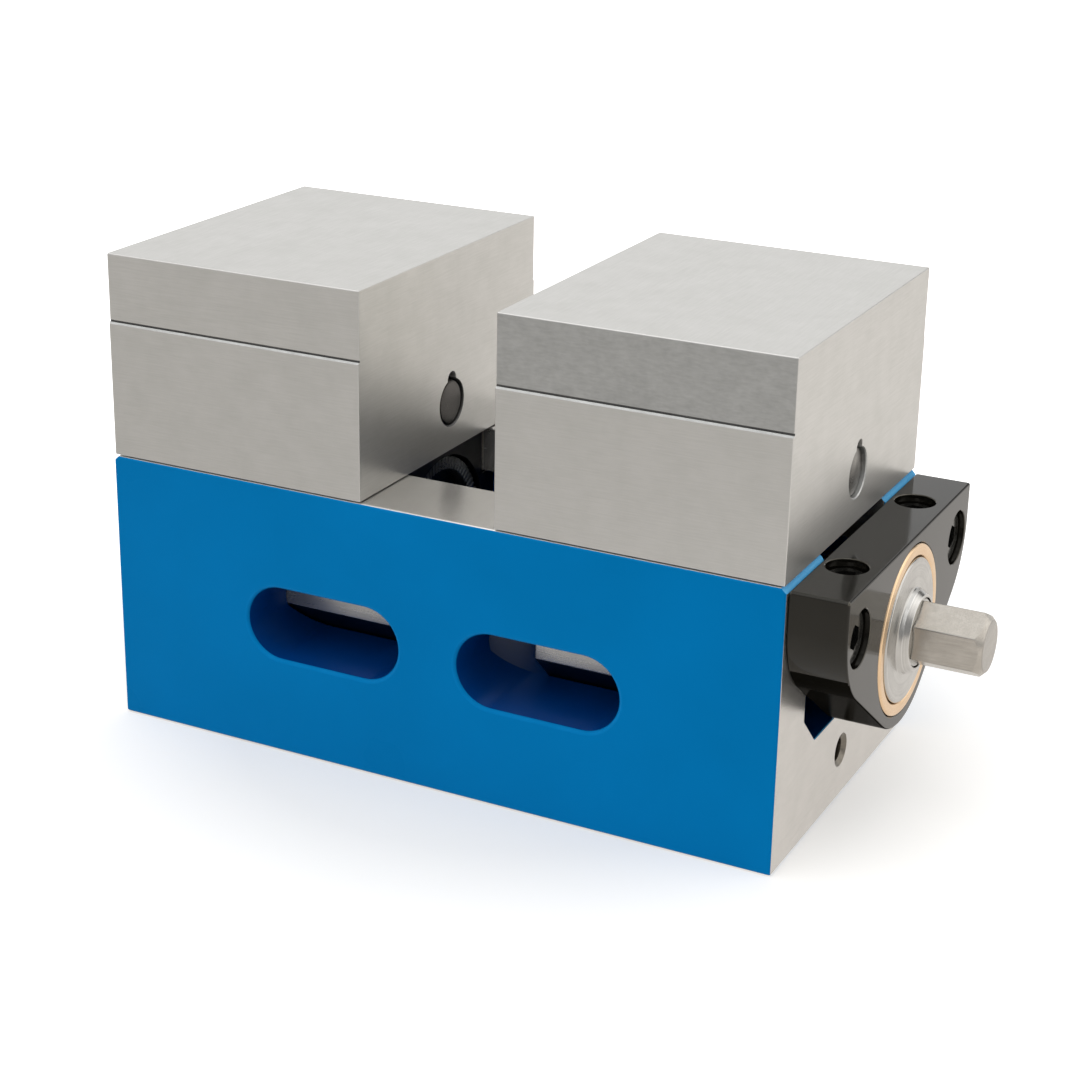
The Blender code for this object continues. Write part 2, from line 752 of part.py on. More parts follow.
def pocket_outline():
    """The jaw's pocket as (height, distance) points: the wedge head with clearance round it."""
    lean = POCKET_CLEARANCE / math.sin(WEDGE_ANGLE)
    top = WEDGE_HEIGHT + POCKET_CLEARANCE
    return [
        (BED - MARGIN, wedge_x(-MARGIN) - lean),
        (BED - MARGIN, WEDGE_BACK + POCKET_CLEARANCE),
        (BED + top, WEDGE_BACK + POCKET_CLEARANCE),
        (BED + top, wedge_x(top) - lean),
    ]


def ball_profile(radius):
    quarter = math.pi / 2
    points = [(0.0, 0.0)] + arc((0, 0), radius, 0, quarter, 7)
    points[-1] = (0.0, radius)
    return points


def ball_placement():
    """The half-ball's flat faces the wedge, and its dome points forward and down into the jaw."""
    normal = Vector((-math.sin(WEDGE_ANGLE), 0, -math.cos(WEDGE_ANGLE)))
    centre = Vector((WEDGE_SETBACK, 0, PLUG_Z)) + normal * SEAT
    return Matrix.Translation(centre) @ normal.to_track_quat("Z", "Y").to_matrix().to_4x4()


def make_jaw(side, material, parent):
    jaw = add_object(
        f"jaw_{side}", prism(jaw_outline(), 0, JAW_LENGTH, JAW_EDGE), ALONG_X, material, parent
    )
    reach = WEDGE_WIDTH / 2 + RUNNING
    pocket = add_object(
        f"cut_pocket_{side}", prism(pocket_outline(), -reach, reach), ALONG_Y, parent=parent
    )
    combine(jaw, "DIFFERENCE", pocket)
    cut_round(
        jaw,
        f"cut_ball_{side}",
        ball_profile(BALL_RADIUS + SEAT),
        MEDIUM,
        ball_placement(),
        parent,
    )
    axis = Matrix.Translation((0, 0, PLUG_Z)) @ ALONG_X
    front = plug_profile(PLUG_RADIUS + PLUG_FIT, -MARGIN, WEDGE_SETBACK - BALL_RADIUS / 2)
    cut_round(jaw, f"cut_front_plug_{side}", front, MEDIUM, axis, parent)
    rear = plug_profile(PLUG_RADIUS + PLUG_FIT, WEDGE_BACK, JAW_LENGTH + MARGIN)
    cut_round(jaw, f"cut_rear_plug_{side}", rear, MEDIUM, axis, parent)
    place = Matrix.Translation((0, 0, PLUG_Z + PLUG_RADIUS + PLUG_FIT)) @ ALONG_X
    notch = plug_profile(NOTCH_RADIUS, -MARGIN, NOTCH_DEPTH)
    cut_round(jaw, f"cut_front_notch_{side}", notch, COARSE, place, parent)
    notch = plug_profile(NOTCH_RADIUS, JAW_LENGTH - NOTCH_DEPTH, JAW_LENGTH + MARGIN)
    cut_round(jaw, f"cut_rear_notch_{side}", notch, COARSE, place, parent)


def make_plug(name, start, end, material, parent):
    profile = [
        (0, start),
        (PLUG_RADIUS - PLUG_EDGE, start),
        (PLUG_RADIUS, start + PLUG_EDGE),
        (PLUG_RADIUS, end - PLUG_EDGE),
        (PLUG_RADIUS - PLUG_EDGE, end),
        (0, end),
    ]
    axis = Matrix.Translation((0, 0, PLUG_Z)) @ ALONG_X
    add_object(name, turned(profile, MEDIUM), axis, material, parent)


def make_jaw_fittings(side, black, steel, parent):
    ball = turned(ball_profile(BALL_RADIUS), MEDIUM)
    add_object(f"half_ball_{side}", ball, ball_placement(), steel, parent)
    ball_front = WEDGE_SETBACK - math.sin(WEDGE_ANGLE) * SEAT - BALL_RADIUS
    make_plug(f"front_plug_{side}", PLUG_SINK, ball_front - SEAT, black, parent)
    make_plug(
        f"rear_plug_{side}", WEDGE_BACK + SEAT, JAW_LENGTH - REAR_PLUG_SINK, steel, parent
    )


def nut_outline():
    """The nut seen along the slot: a block in the channel and a neck between the rails."""
    floor = CHANNEL_FLOOR - SCREW_HEIGHT + RUNNING
    under = RAIL_UNDERSIDE - SCREW_HEIGHT - RUNNING
    half = CHANNEL_WIDTH / 2 - RUNNING
    neck = SLOT_WIDTH / 2 - RUNNING
    return half_outline(
        [
            (half - CHANNEL_CHAMFER, floor),
            (half, floor + CHANNEL_CHAMFER),
            (half, under),
            (neck, under),
            (neck, BED - RUNNING),
        ]
    )


def make_nut(side, material, parent):
    back = NUT_FRONT + NUT_LENGTH
    block = prism(nut_outline(), NUT_FRONT, back, NUT_EDGE)
    nut = add_object(f"jaw_nut_{side}", block, ALONG_X, material, parent)
    wedge = [
        (BED - RAIL_THICKNESS / 2, wedge_x(0)),
        (BED - RAIL_THICKNESS / 2, WEDGE_BACK),
        (BED + WEDGE_HEIGHT, WEDGE_BACK),
        (BED + WEDGE_HEIGHT, wedge_x(WEDGE_HEIGHT)),
        (BED, wedge_x(0)),
    ]
    half = WEDGE_WIDTH / 2
    head = add_object(f"add_wedge_{side}", prism(wedge, -half, half), ALONG_Y, parent=parent)
    combine(nut, "UNION", head)
    recess = RING_RADIUS + RING_GAP
    groove = [
        (0, NUT_FRONT - MARGIN),
        (recess, NUT_FRONT - MARGIN),
        (recess, RING_SEAT),
        (SPIGOT_RADIUS, RING_SEAT),
        (SPIGOT_RADIUS, RING_SEAT - SPIGOT_LENGTH),
        (0, RING_SEAT - SPIGOT_LENGTH),
    ]
    cut_round(nut, f"cut_nut_face_{side}", groove, FINE, ALONG_X, parent)
    bore = plug_profile(THREAD_RADIUS + RUNNING, NUT_FRONT - MARGIN, back + MARGIN)
    cut_round(nut, f"cut_nut_bore_{side}", bore, MEDIUM, ALONG_X, parent)


def make_nut_ring(side, material, parent):
    """The ring round the nut's spigot, in the round recess in its face."""
    end = RING_SEAT - SEAT
    start = end - RING_THICKNESS
    bore = SPIGOT_RADIUS + SEAT
    profile = [(bore, start), (RING_RADIUS, start), (RING_RADIUS, end), (bore, end)]
    add_object(f"nut_ring_{side}", turned(profile, FINE, True), ALONG_X, material, parent)


def shade_cut_pieces():
    """Flat faces stay flat to the eye where a cut meets them."""
    for obj in bpy.data.objects:
        if obj.modifiers and not obj.hide_render:
            obj.modifiers.new("Flat faces", "WEIGHTED_NORMAL")


def main():
    clear_scene()
    paint = make_material("blue_paint", (0.0, 0.145, 0.402), 0.35, 0.0)
    black = make_material("black_oxide", (0.03, 0.028, 0.024), 0.25, 0.9)
    bronze = make_material("bronze", (0.80, 0.52, 0.29), 0.3, 1.0)
    steel = make_material("ground_steel", (0.60, 0.58, 0.55), 0.32, 1.0)
    make_body(paint)
    make_locators(steel)
    make_plate(black)
    make_plate_fasteners(black, steel)
    make_bushing(bronze)
    screw_axis = add_empty("screw_axis", (0, 0, SCREW_HEIGHT))
    make_screw(steel, screw_axis)
    make_collar(steel, screw_axis)
    make_washer(steel, screw_axis)
    for side, name, turn in ((-1, "left", math.pi), (1, "right", 0.0)):
        carriage = add_empty(
            f"carriage_{name}", (side * JAW_GAP / 2, 0, SCREW_HEIGHT), turn
        )
        make_jaw(name, steel, carriage)
        make_jaw_fittings(name, black, steel, carriage)
        make_nut(name, steel, carriage)
        make_nut_ring(name, black, carriage)
    shade_cut_pieces()


main()
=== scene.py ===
"""Looks for a self-centring modular vise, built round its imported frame, in metres, +Z up."""

import math

import bmesh
import bpy
from mathutils import Matrix, Vector


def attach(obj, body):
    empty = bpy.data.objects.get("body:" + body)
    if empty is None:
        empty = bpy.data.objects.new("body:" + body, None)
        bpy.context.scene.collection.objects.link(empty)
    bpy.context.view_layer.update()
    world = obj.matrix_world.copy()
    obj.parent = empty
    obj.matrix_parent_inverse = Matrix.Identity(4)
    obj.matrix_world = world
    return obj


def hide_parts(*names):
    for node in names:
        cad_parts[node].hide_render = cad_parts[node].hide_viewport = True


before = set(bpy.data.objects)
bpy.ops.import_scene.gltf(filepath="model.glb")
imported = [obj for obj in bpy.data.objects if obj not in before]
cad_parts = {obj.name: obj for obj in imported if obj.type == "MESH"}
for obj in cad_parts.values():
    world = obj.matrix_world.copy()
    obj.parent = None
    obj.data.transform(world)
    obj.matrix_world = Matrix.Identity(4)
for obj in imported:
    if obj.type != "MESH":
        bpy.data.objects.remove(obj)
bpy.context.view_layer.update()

scene = bpy.context.scene
for leftover in ("Cube", "Light", "Camera"):
    if leftover in bpy.data.objects:
        bpy.data.objects.remove(bpy.data.objects[leftover])


# Body block
# One block of steel with a T-shaped channel milled along it and two chip windows through its side walls.
# It is enamelled blue all over, then the ends, the rails, the slot and the underside are ground bare.
BODY_END = 0.1016
BODY_SIDE = 0.0508
BED = 0.080
SCREW_HEIGHT = 0.0533
SLOT = 0.024
RAIL_UNDERSIDE = 0.066
CHANNEL = 0.0313
CHANNEL_FLOOR = 0.027
CHANNEL_CHAMFER = 0.009
END_CHAMFER = 0.0016
PLATE_BOLT = Vector((0, 0.040, 0.066))
DOWEL = Vector((0, 0.036, 0.0525))

# Places a shape that is drawn flat in X and Y so that its own Z points along world X, or along world Y.
ALONG_X = Matrix(((0, 0, 1), (1, 0, 0), (0, 1, 0))).to_4x4()
ALONG_Y = Matrix(((0, 1, 0), (0, 0, 1), (1, 0, 0))).to_4x4()


def eased(points, steps=4):
    """An outline of (x, y, radius) points with each corner turned into an arc of its radius."""
    result = []
    for i, (x, y, radius) in enumerate(points):
        here = Vector((x, y))
        if not radius:
            result.append((x, y))
            continue
        back = (Vector(points[i - 1][:2]) - here).normalized()
        on = (Vector(points[(i + 1) % len(points)][:2]) - here).normalized()
        half = back.angle(on) / 2
        centre = here + (back + on).normalized() * (radius / math.sin(half))
        first = here + back * (radius / math.tan(half)) - centre
        last = here + on * (radius / math.tan(half)) - centre
        turn = first.angle_signed(last)
        for k in range(steps + 1):
            spoke = first.copy()
            spoke.rotate(Matrix.Rotation(-turn * k / steps, 2))
            result.append(tuple(centre + spoke))
    return result


def grown(outline, distance):
    """The counterclockwise outline with every side moved outwards."""
    result = []
    for i, point in enumerate(outline):
        before = Vector(point) - Vector(outline[i - 1])
        after = Vector(outline[(i + 1) % len(outline)]) - Vector(point)
        normal_before = Vector((before.y, -before.x)).normalized()
        normal_after = Vector((after.y, -after.x)).normalized()
        miter = (normal_before + normal_after) / (1 + normal_before.dot(normal_after))
        result.append(tuple(Vector(point) + miter * distance))
    return result


def mirrored(points):
    """Closes an outline given for +x, bottom to top, with its mirror image."""
    return points + [(-x, y, *rest) for x, y, *rest in reversed(points)]


def add_piece(name, bm, placement):
    """Makes an object at the origin of the mesh, whose place goes into its points."""
    bmesh.ops.remove_doubles(bm, verts=bm.verts, dist=1e-6)
    bmesh.ops.transform(bm, matrix=placement, verts=bm.verts)
    bmesh.ops.recalc_face_normals(bm, faces=bm.faces)
    mesh = bpy.data.meshes.new(name)
    bm.to_mesh(mesh)
    bm.free()
    piece = bpy.data.objects.new(name, mesh)
    scene.collection.objects.link(piece)
    return piece


def lofted(name, sections, placement):
    """A solid through (height, outline) sections, closed at both ends."""
    bm = bmesh.new()
    rings = [[bm.verts.new((x, y, height)) for x, y in outline] for height, outline in sections]
    for lower, upper in zip(rings, rings[1:]):
        for i in range(len(lower)):
            bm.faces.new((lower[i - 1], lower[i], upper[i], upper[i - 1]))
    bm.faces.new(rings[0])
    bm.faces.new(rings[-1])
    return add_piece(name, bm, placement)


def drawn(name, outline, start, end, rim=0.0, placement=ALONG_X):
    """The outline drawn from start to end, with both rims rounded by the radius."""
    angles = [math.radians(a) for a in (0, 30, 60, 90)] if rim else [math.pi / 2]
    shifts = [(start + rim - rim * math.cos(a), rim * math.sin(a) - rim) for a in angles]
    shifts += [(end - rim + rim * math.cos(a), rim * math.sin(a) - rim) for a in reversed(angles)]
    sections = [(height, grown(outline, shift) if shift else outline) for height, shift in shifts]
    return lofted(name, sections, placement)


def turned(name, profile, facets, placement=ALONG_X, ring=False):
    """A profile of (radius, height, rounding) points turned about its axis. A ring's profile is closed."""
    points = eased(profile, 3)
    bm = bmesh.new()
    verts = [bm.verts.new((radius, 0, height)) for radius, height in points]
    edges = [bm.edges.new(pair) for pair in zip(verts, verts[1:])]
    if ring:
        edges.append(bm.edges.new((verts[-1], verts[0])))
    bmesh.ops.spin(
        bm, geom=verts + edges, axis=(0, 0, 1), cent=(0, 0, 0), angle=math.tau, steps=facets,
        use_merge=True,
    )
    return add_piece(name, bm, placement)


def carve(piece, cutters, operation="DIFFERENCE"):
    """Cuts the cutters out of the piece, or joins or keeps what they share with it, and removes them."""
    for cutter in cutters:
        modifier = piece.modifiers.new(cutter.name, "BOOLEAN")
        modifier.operation = operation
        modifier.object = cutter
    graph = bpy.context.evaluated_depsgraph_get()
    mesh = bpy.data.meshes.new_from_object(piece.evaluated_get(graph))
    piece.modifiers.clear()
    piece.data = mesh
    for cutter in cutters:
        bpy.data.objects.remove(cutter)


def hole(place, depth, radius, sink=0.0, facets=48, placement=ALONG_X):
    """A cutter for a round hole that goes down from its place on a face, with a countersunk rim."""
    profile = [
        (0, -depth, 0), (radius, -depth, 0), (radius, -sink, 0), (radius + sink + 0.001, 0.001, 0), (0, 0.001, 0),
    ]
    return turned("cut_hole", profile, facets, Matrix.Translation(place) @ placement)


def paint(piece, *materials):
    """Gives a piece its materials, in the order of its faces' numbers."""
    piece.data.materials.clear()
    for material in materials:
        piece.data.materials.append(material)


def settle(piece, body, node, slot, *materials):
    """Marks the narrow edge faces, smooths what is round, keeps what is flat flat, and hides the node it replaces."""
    mesh = piece.data
    wear_and_light = mesh.attributes.new("edge", "FLOAT", "FACE")
    for polygon in mesh.polygons:
        points = [mesh.vertices[i].co for i in polygon.vertices]
        longest = max((a - b).length for a, b in zip(points, points[1:] + points[:1]))
        wear_and_light.data[polygon.index].value = float(polygon.area < longest * 0.0003)
    mesh.shade_smooth()
    mesh.set_sharp_from_angle(angle=math.radians(35))
    if materials:
        paint(piece, *materials)
    modifier = piece.modifiers.new("flat", "WEIGHTED_NORMAL")
    modifier.keep_sharp = True
    graph = bpy.context.evaluated_depsgraph_get()
    piece.data = bpy.data.meshes.new_from_object(piece.evaluated_get(graph))
    piece.modifiers.clear()
    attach(piece, body)
    for name in [node] if isinstance(node, str) else node:
        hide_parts(name)


def add_node(tree, kind, values=None, **settings):
    """Adds a node to a tree. A value that is a socket is linked, any other is set."""
    node = tree.nodes.new(kind)
    for key, value in settings.items():
        setattr(node, key, value)
    for key, value in (values or {}).items():
        if isinstance(value, bpy.types.NodeSocket):
            tree.links.new(value, node.inputs[key])
        else:
            node.inputs[key].default_value = value
    return node


def arithmetic(tree, operation, first, second=0.0):
    return add_node(tree, "ShaderNodeMath", {0: first, 1: second}, operation=operation).outputs[0]


def noise(tree, place, scale, detail, roughness=0.5):
    sizes = {"Vector": place, "Scale": scale, "Detail": detail, "Roughness": roughness}
    return add_node(tree, "ShaderNodeTexNoise", sizes).outputs["Fac"]


def blend_colours(tree, mask, low, high):
    first = low if isinstance(low, bpy.types.NodeSocket) else (*low, 1)
    return add_node(tree, "ShaderNodeMix", {0: mask, 6: first, 7: (*high, 1)}, data_type="RGBA").outputs[2]


def spread_values(tree, value, low, high, start=0.3, end=0.7):
    """Spreads what lies between start and end over the range from low to high."""
    ranges = {"Value": value, "From Min": start, "From Max": end, "To Min": low, "To Max": high}
    return add_node(tree, "ShaderNodeMapRange", ranges).outputs["Result"]


def add_group(name, kind, inputs, outputs):
    """A node group with named sockets, and its input and output nodes."""
    group = bpy.data.node_groups.new(name, kind)
    for label, socket_type, value in inputs:
        socket = group.interface.new_socket(label, in_out="INPUT", socket_type=socket_type)
        if value is not None:
            socket.default_value = value
    for label, socket_type in outputs:
        group.interface.new_socket(label, in_out="OUTPUT", socket_type=socket_type)
    return group, group.nodes.new("NodeGroupInput"), group.nodes.new("NodeGroupOutput")


# Narrow edge faces take their own colour: partly scuffing, partly painted highlight, on some parts a painted dark line.
def make_wear_and_light_edges():
    """The mask of the narrow edge faces, broken up a little along their length."""
    group, given, result = add_group(
        "worn_edges", "ShaderNodeTree",
        [("Vector", "NodeSocketVector", None), ("Amount", "NodeSocketFloat", 1.0)],
        [("Mask", "NodeSocketFloat")],
    )
    edge = add_node(group, "ShaderNodeAttribute", attribute_name="edge").outputs["Fac"]
    patches = spread_values(group, noise(group, given.outputs["Vector"], 160.0, 3.0), 0.35, 1.0, 0.3, 0.6)
    both = {0: arithmetic(group, "MULTIPLY", edge, patches), 1: given.outputs["Amount"]}
    scaled = add_node(group, "ShaderNodeMath", both, operation="MULTIPLY", use_clamp=True)
    group.links.new(scaled.outputs[0], result.inputs["Mask"])
    return group


def make_ground_grain():
    """Fine grinding lines, along Y on top and end faces and along X on side faces, and faint clouds."""
    group, given, result = add_group(
        "ground_grain", "ShaderNodeTree",
        [
            ("Vector", "NodeSocketVector", None), ("Line Length", "NodeSocketFloat", 0.012),
            ("Line Width", "NodeSocketFloat", 0.00025), ("Cloud Size", "NodeSocketFloat", 0.009),
        ],
        [("Lines", "NodeSocketFloat"), ("Clouds", "NodeSocketFloat")],
    )
    place = given.outputs["Vector"]
    along, across, cloud = (
        arithmetic(group, "DIVIDE", 1.0, given.outputs[size]) for size in ("Line Length", "Line Width", "Cloud Size")
    )
    noises = []
    for sizes in ({"X": along, "Y": across, "Z": across}, {"X": across, "Y": along, "Z": across}):
        scale = add_node(group, "ShaderNodeCombineXYZ", sizes)
        stretched = add_node(group, "ShaderNodeVectorMath", {0: place, 1: scale.outputs[0]}, operation="MULTIPLY")
        noises.append(noise(group, stretched.outputs[0], 1.0, 2.0, 0.6))
    normal = add_node(group, "ShaderNodeSeparateXYZ", {0: add_node(group, "ShaderNodeTexCoord").outputs["Normal"]})
    sideways = arithmetic(group, "GREATER_THAN", arithmetic(group, "ABSOLUTE", normal.outputs["Y"]), 0.7)
    lines = add_node(group, "ShaderNodeMix", {0: sideways, 2: noises[1], 3: noises[0]})
    group.links.new(lines.outputs[0], result.inputs["Lines"])
    group.links.new(noise(group, place, cloud, 4.0, 0.6), result.inputs["Clouds"])
    return group


def make_enamel_skin():
    """The slow waves and fine peel of a sprayed enamel, and faint clouds in its colour."""
    group, given, result = add_group(
        "enamel_skin", "ShaderNodeTree",
        [("Vector", "NodeSocketVector", None), ("Peel Size", "NodeSocketFloat", 0.0016)],
        [("Peel", "NodeSocketFloat"), ("Clouds", "NodeSocketFloat")],
    )
    place = given.outputs["Vector"]
    size = arithmetic(group, "DIVIDE", 1.0, given.outputs["Peel Size"])
    group.links.new(noise(group, place, size, 2.0), result.inputs["Peel"])
    group.links.new(noise(group, place, 24.0, 3.0), result.inputs["Clouds"])
    return group


WEAR_AND_LIGHT_EDGES = make_wear_and_light_edges()
GROUND_GRAIN = make_ground_grain()
ENAMEL_SKIN = make_enamel_skin()


def add_material(name, roughness, metallic):
    material = bpy.data.materials.new(name)
    material.use_nodes = True
    tree = material.node_tree
    shader = tree.nodes["Principled BSDF"]
    shader.inputs["Roughness"].default_value = roughness
    shader.inputs["Metallic"].default_value = metallic
    place = add_node(tree, "ShaderNodeTexCoord").outputs["Object"]
    return material, tree, shader, place


def dress(tree, shader, place, tone, colours, roughness, bump, wear_and_light=1.0, start=0.3, end=0.7):
    """A tone's colour and roughness, edges of scuffing and painted light, and a bump of (strength, depth, height)."""
    dark, light, edge_wear_and_light = colours
    strength, depth, height = bump
    edges = add_node(tree, "ShaderNodeGroup", {"Vector": place, "Amount": wear_and_light}, node_tree=WEAR_AND_LIGHT_EDGES)
    colour = blend_colours(tree, spread_values(tree, tone, 0, 1, start, end), dark, light)
    tree.links.new(blend_colours(tree, edges.outputs["Mask"], colour, edge_wear_and_light), shader.inputs["Base Color"])
    tree.links.new(spread_values(tree, tone, *roughness), shader.inputs["Roughness"])
    relief = add_node(tree, "ShaderNodeBump", {"Strength": strength, "Distance": depth, "Height": height})
    tree.links.new(relief.outputs["Normal"], shader.inputs["Normal"])


def make_enamel(name, dark, light, bare, wear_and_light, gloss):
    # Its narrow edges take the bare colour, a lighter blue: partly scuffing, partly a painted highlight.
    material, tree, shader, place = add_material(name, 0.3, 0.0)
    shader.inputs["Specular IOR Level"].default_value = gloss
    shader.inputs["Specular Tint"].default_value = (0.1, 0.6, 1.0, 1)
    skin = add_node(tree, "ShaderNodeGroup", {"Vector": place}, node_tree=ENAMEL_SKIN).outputs
    peel = (0.25, 0.00003, skin["Peel"])
    dress(tree, shader, place, skin["Clouds"], (dark, light, bare), (0.26, 0.34), peel, wear_and_light)
    return material


def make_ground_steel(
    name, dark, light, rough, edge_wear_and_light_colour, length=0.009, width=0.0004, cloud=0.009, relief=0.15, metallic=0.82,
):
    """Ground steel: colour and roughness drift with the clouds, and the lines stand in its bump."""
    material, tree, shader, place = add_material(name, rough, metallic)
    sizes = {"Vector": place, "Line Length": length, "Line Width": width, "Cloud Size": cloud}
    grain = add_node(tree, "ShaderNodeGroup", sizes, node_tree=GROUND_GRAIN).outputs
    tone = add_node(tree, "ShaderNodeMix", {0: 0.5, 2: grain["Clouds"], 3: grain["Lines"]}).outputs[0]
    scratches = (relief, 0.000005, grain["Lines"])
    shades = (dark, light, edge_wear_and_light_colour)
    dress(tree, shader, place, tone, shades, (rough + 0.03, rough - 0.03), scratches, 1.0, 0.36, 0.64)
    return material


blue_enamel = make_enamel("blue_enamel", (0.0, 0.180, 0.465), (0.0, 0.197, 0.51), (0.01, 0.27, 0.66), 0.25, 0.08)
# The end chamfers are painted a much lighter blue, a painted highlight of the lamps overhead.
thin_enamel = make_enamel("thin_enamel", (0.08, 0.46, 0.88), (0.11, 0.52, 0.93), (0.20, 0.60, 0.95), 0.6, 0.5)
# The channel and the window walls are painted a much darker blue, as painted shade.
pocket_enamel = make_enamel("pocket_enamel", (0.0, 0.040, 0.205), (0.0, 0.050, 0.24), (0.0, 0.06, 0.28), 0.2, 0.12)
body_steel = make_ground_steel("body_ground_steel", (0.66, 0.64, 0.61), (0.72, 0.70, 0.67), 0.25, (0.76, 0.75, 0.73))
# The holes are painted a much darker, warmer steel, as painted shade in the bores.
bored_steel = make_ground_steel("bored_steel", (0.16, 0.145, 0.12), (0.26, 0.235, 0.20), 0.3, (0.3, 0.28, 0.25))

body_outline = eased(mirrored([
    (BODY_SIDE, 0, 0.0009),
    (BODY_SIDE, BED, 0.0007),
    (SLOT, BED, 0.0007),
    (SLOT, RAIL_UNDERSIDE, 0.0007),
    (CHANNEL, RAIL_UNDERSIDE, 0.0008),
    (CHANNEL, CHANNEL_FLOOR + CHANNEL_CHAMFER, 0.001),
    (CHANNEL - CHANNEL_CHAMFER, CHANNEL_FLOOR, 0.001),
]), 4)
vise_block = drawn("vise_block", body_outline, -BODY_END, BODY_END, 0.0006)

cutters = []
# A window is a slot with round ends. Its rims are rounded where it comes out of the side walls.
WINDOW_X = 0.0332
WINDOW_HEIGHT = 0.0392
WINDOW_RADIUS = 0.0107
WINDOW_REACH = 0.0135
WINDOW_RIM = 0.0011
window = []
for turn, centre in ((0, WINDOW_REACH), (1, -WINDOW_REACH)):
    for angle in (math.pi * (turn + k / 24) for k in range(25)):
        window.append((WINDOW_RADIUS * math.cos(angle), WINDOW_RADIUS * math.sin(angle) + centre))
depths = [(-0.002, WINDOW_RIM + 0.0008)] + [
    (WINDOW_RIM - WINDOW_RIM * math.cos(a), WINDOW_RIM - WINDOW_RIM * math.sin(a))
    for a in (math.radians(15 * k) for k in range(7))
]
window_sections = [(depth - BODY_SIDE, grown(window, shift)) for depth, shift in depths]
window_sections += [(BODY_SIDE - depth, grown(window, shift)) for depth, shift in reversed(depths)]

# The underside has two bores for the locating bushings and four tapped holes near its corners.
PIN_X = 0.048
FOOT_BOLT = (0.0762, 0.0381)
DOWNWARDS = Matrix.Rotation(math.pi, 4, "X")
for end in (-1, 1):
    place = Matrix.Translation((end * WINDOW_X, 0, WINDOW_HEIGHT)) @ ALONG_Y
    cutters.append(lofted("cut_window", window_sections, place))
    corner = [
        (BED + 0.002, end * (BODY_END - END_CHAMFER - 0.002)),
        (BED - END_CHAMFER - 0.002, end * (BODY_END + 0.002)),
        (BED + 0.002, end * (BODY_END + 0.002)),
    ]
    cutters.append(drawn("cut_chamfer", corner, -0.053, 0.053, 0, ALONG_Y))
    cutters.append(hole((end * PIN_X, 0, 0), 0.0108, 0.0103, 0.0004, 64, DOWNWARDS))
    for side in (-1, 1):
        place = (end * FOOT_BOLT[0], side * FOOT_BOLT[1], 0)
        cutters.append(hole(place, 0.016, 0.0043, 0.0006, 40, DOWNWARDS))
for side in (-1, 1):
    cutters.append(hole((BODY_END, side * PLATE_BOLT.y, PLATE_BOLT.z), 0.0138, 0.0043, 0.0004, 32))
    cutters.append(hole((BODY_END, side * DOWEL.y, DOWEL.z), 0.008, 0.0033, 0.0002, 32))
# The hole low in the drive end is tapped, so its wall runs in and out with the thread.
TAPPED_HEIGHT = 0.0142
TAPPED_PITCH = 0.00125
tapped = [(0, -0.018, 0), (0.0036, -0.018, 0)]
for k in range(12):
    tapped += [(0.0036, -0.0172 + TAPPED_PITCH * k, 0), (0.0041, -0.0166 + TAPPED_PITCH * k, 0)]
tapped += [(0.0036, -0.0021, 0), (0.0036, -0.0012, 0), (0.0058, 0.001, 0), (0, 0.001, 0)]
place = Matrix.Translation((BODY_END, 0, TAPPED_HEIGHT)) @ ALONG_X
cutters.append(turned("cut_tapped_hole", tapped, 48, place))
carve(vise_block, cutters)
paint(vise_block, blue_enamel, body_steel, bored_steel, thin_enamel, pocket_enamel)
for polygon in vise_block.data.polygons:
    centre, normal = polygon.center, polygon.normal
    bare = (
        (abs(normal.x) > 0.72 and abs(centre.x) > BODY_END - 0.0003)
        or (normal.z > 0.72 and centre.z > BED - 0.0004)
        or (normal.z < -0.72 and centre.z < 0.0004)
        or (abs(centre.y) < SLOT + 0.0004 and RAIL_UNDERSIDE - 0.0002 < centre.z < BED and abs(normal.x) < 0.3)
    )
    flat = Vector((abs(centre.y), centre.z))
    foot = Vector((abs(centre.x), abs(centre.y)))
    # Faces inside the holes take the darker steel of the painted shade.
    bored = 0.08 < centre.x < BODY_END - 0.00001 and any(
        (flat - Vector(axis)).length < reach
        for axis, reach in (((0, TAPPED_HEIGHT), 0.0065), (PLATE_BOLT.yz, 0.0055), (DOWEL.yz, 0.004))
    )
    bored = bored or 0.0001 < centre.z < 0.0175 and any(
        (foot - Vector(axis)).length < reach for axis, reach in (((PIN_X, 0), 0.011), (FOOT_BOLT, 0.006))
    )
    # The chamfers across the tops of the ends take the lighter blue of the painted highlight.
    chamfer = abs(centre.x) > BODY_END - END_CHAMFER and abs(normal.x) > 0.6 and normal.z > 0.6
    # Faces inside the channel and the windows take the darker blue of the painted shade.
    pocket = abs(centre.y) < BODY_SIDE - 0.0008 and CHANNEL_FLOOR - 0.001 < centre.z < RAIL_UNDERSIDE + 0.0002
    polygon.material_index = 2 if bored else 1 if bare else 3 if chamfer else 4 if pocket else 0
settle(vise_block, "base", "vise_body", "blue_paint")


# Locating bushings
# Two hardened steel rings pressed into the underside. They take the locating pins of the table or the grid plate.
# They are turned and ground, and sit just inside the face.
for end, name in ((-1, "left"), (1, "right")):
    profile = [(0.008, 0.0005, 0.0005), (0.010, 0.0005, 0.0004), (0.010, 0.0105, 0.0003), (0.008, 0.0105, 0.0003)]
    bushing = turned(f"pin_bushing_{name}", profile, 72, Matrix.Translation((end * PIN_X, 0, 0)), ring=True)
    settle(bushing, "base", f"locating_bushing_{name}", "ground_steel", body_steel)


# Bearing plate
# A thick plate of black-oxided steel, polished before it was blackened. Two screws and two dowels hold it to the
# drive end. Its foot is round below the screw. Its edges show a thin bright line, partly where the black has come off
# and partly a painted highlight.
PLATE_BACK = 0.1019
PLATE_FACE = 0.1177
PLATE_TOP = 0.0792
PLATE_HALF = 0.050
FOOT_RADIUS = 0.0269
SLOPE = math.radians(36)
CORNER_RADIUS = 0.024
TOP_SCREW_X = 0.1089
TOP_SCREW_Y = 0.0274
UPRIGHT = Matrix.Identity(4)


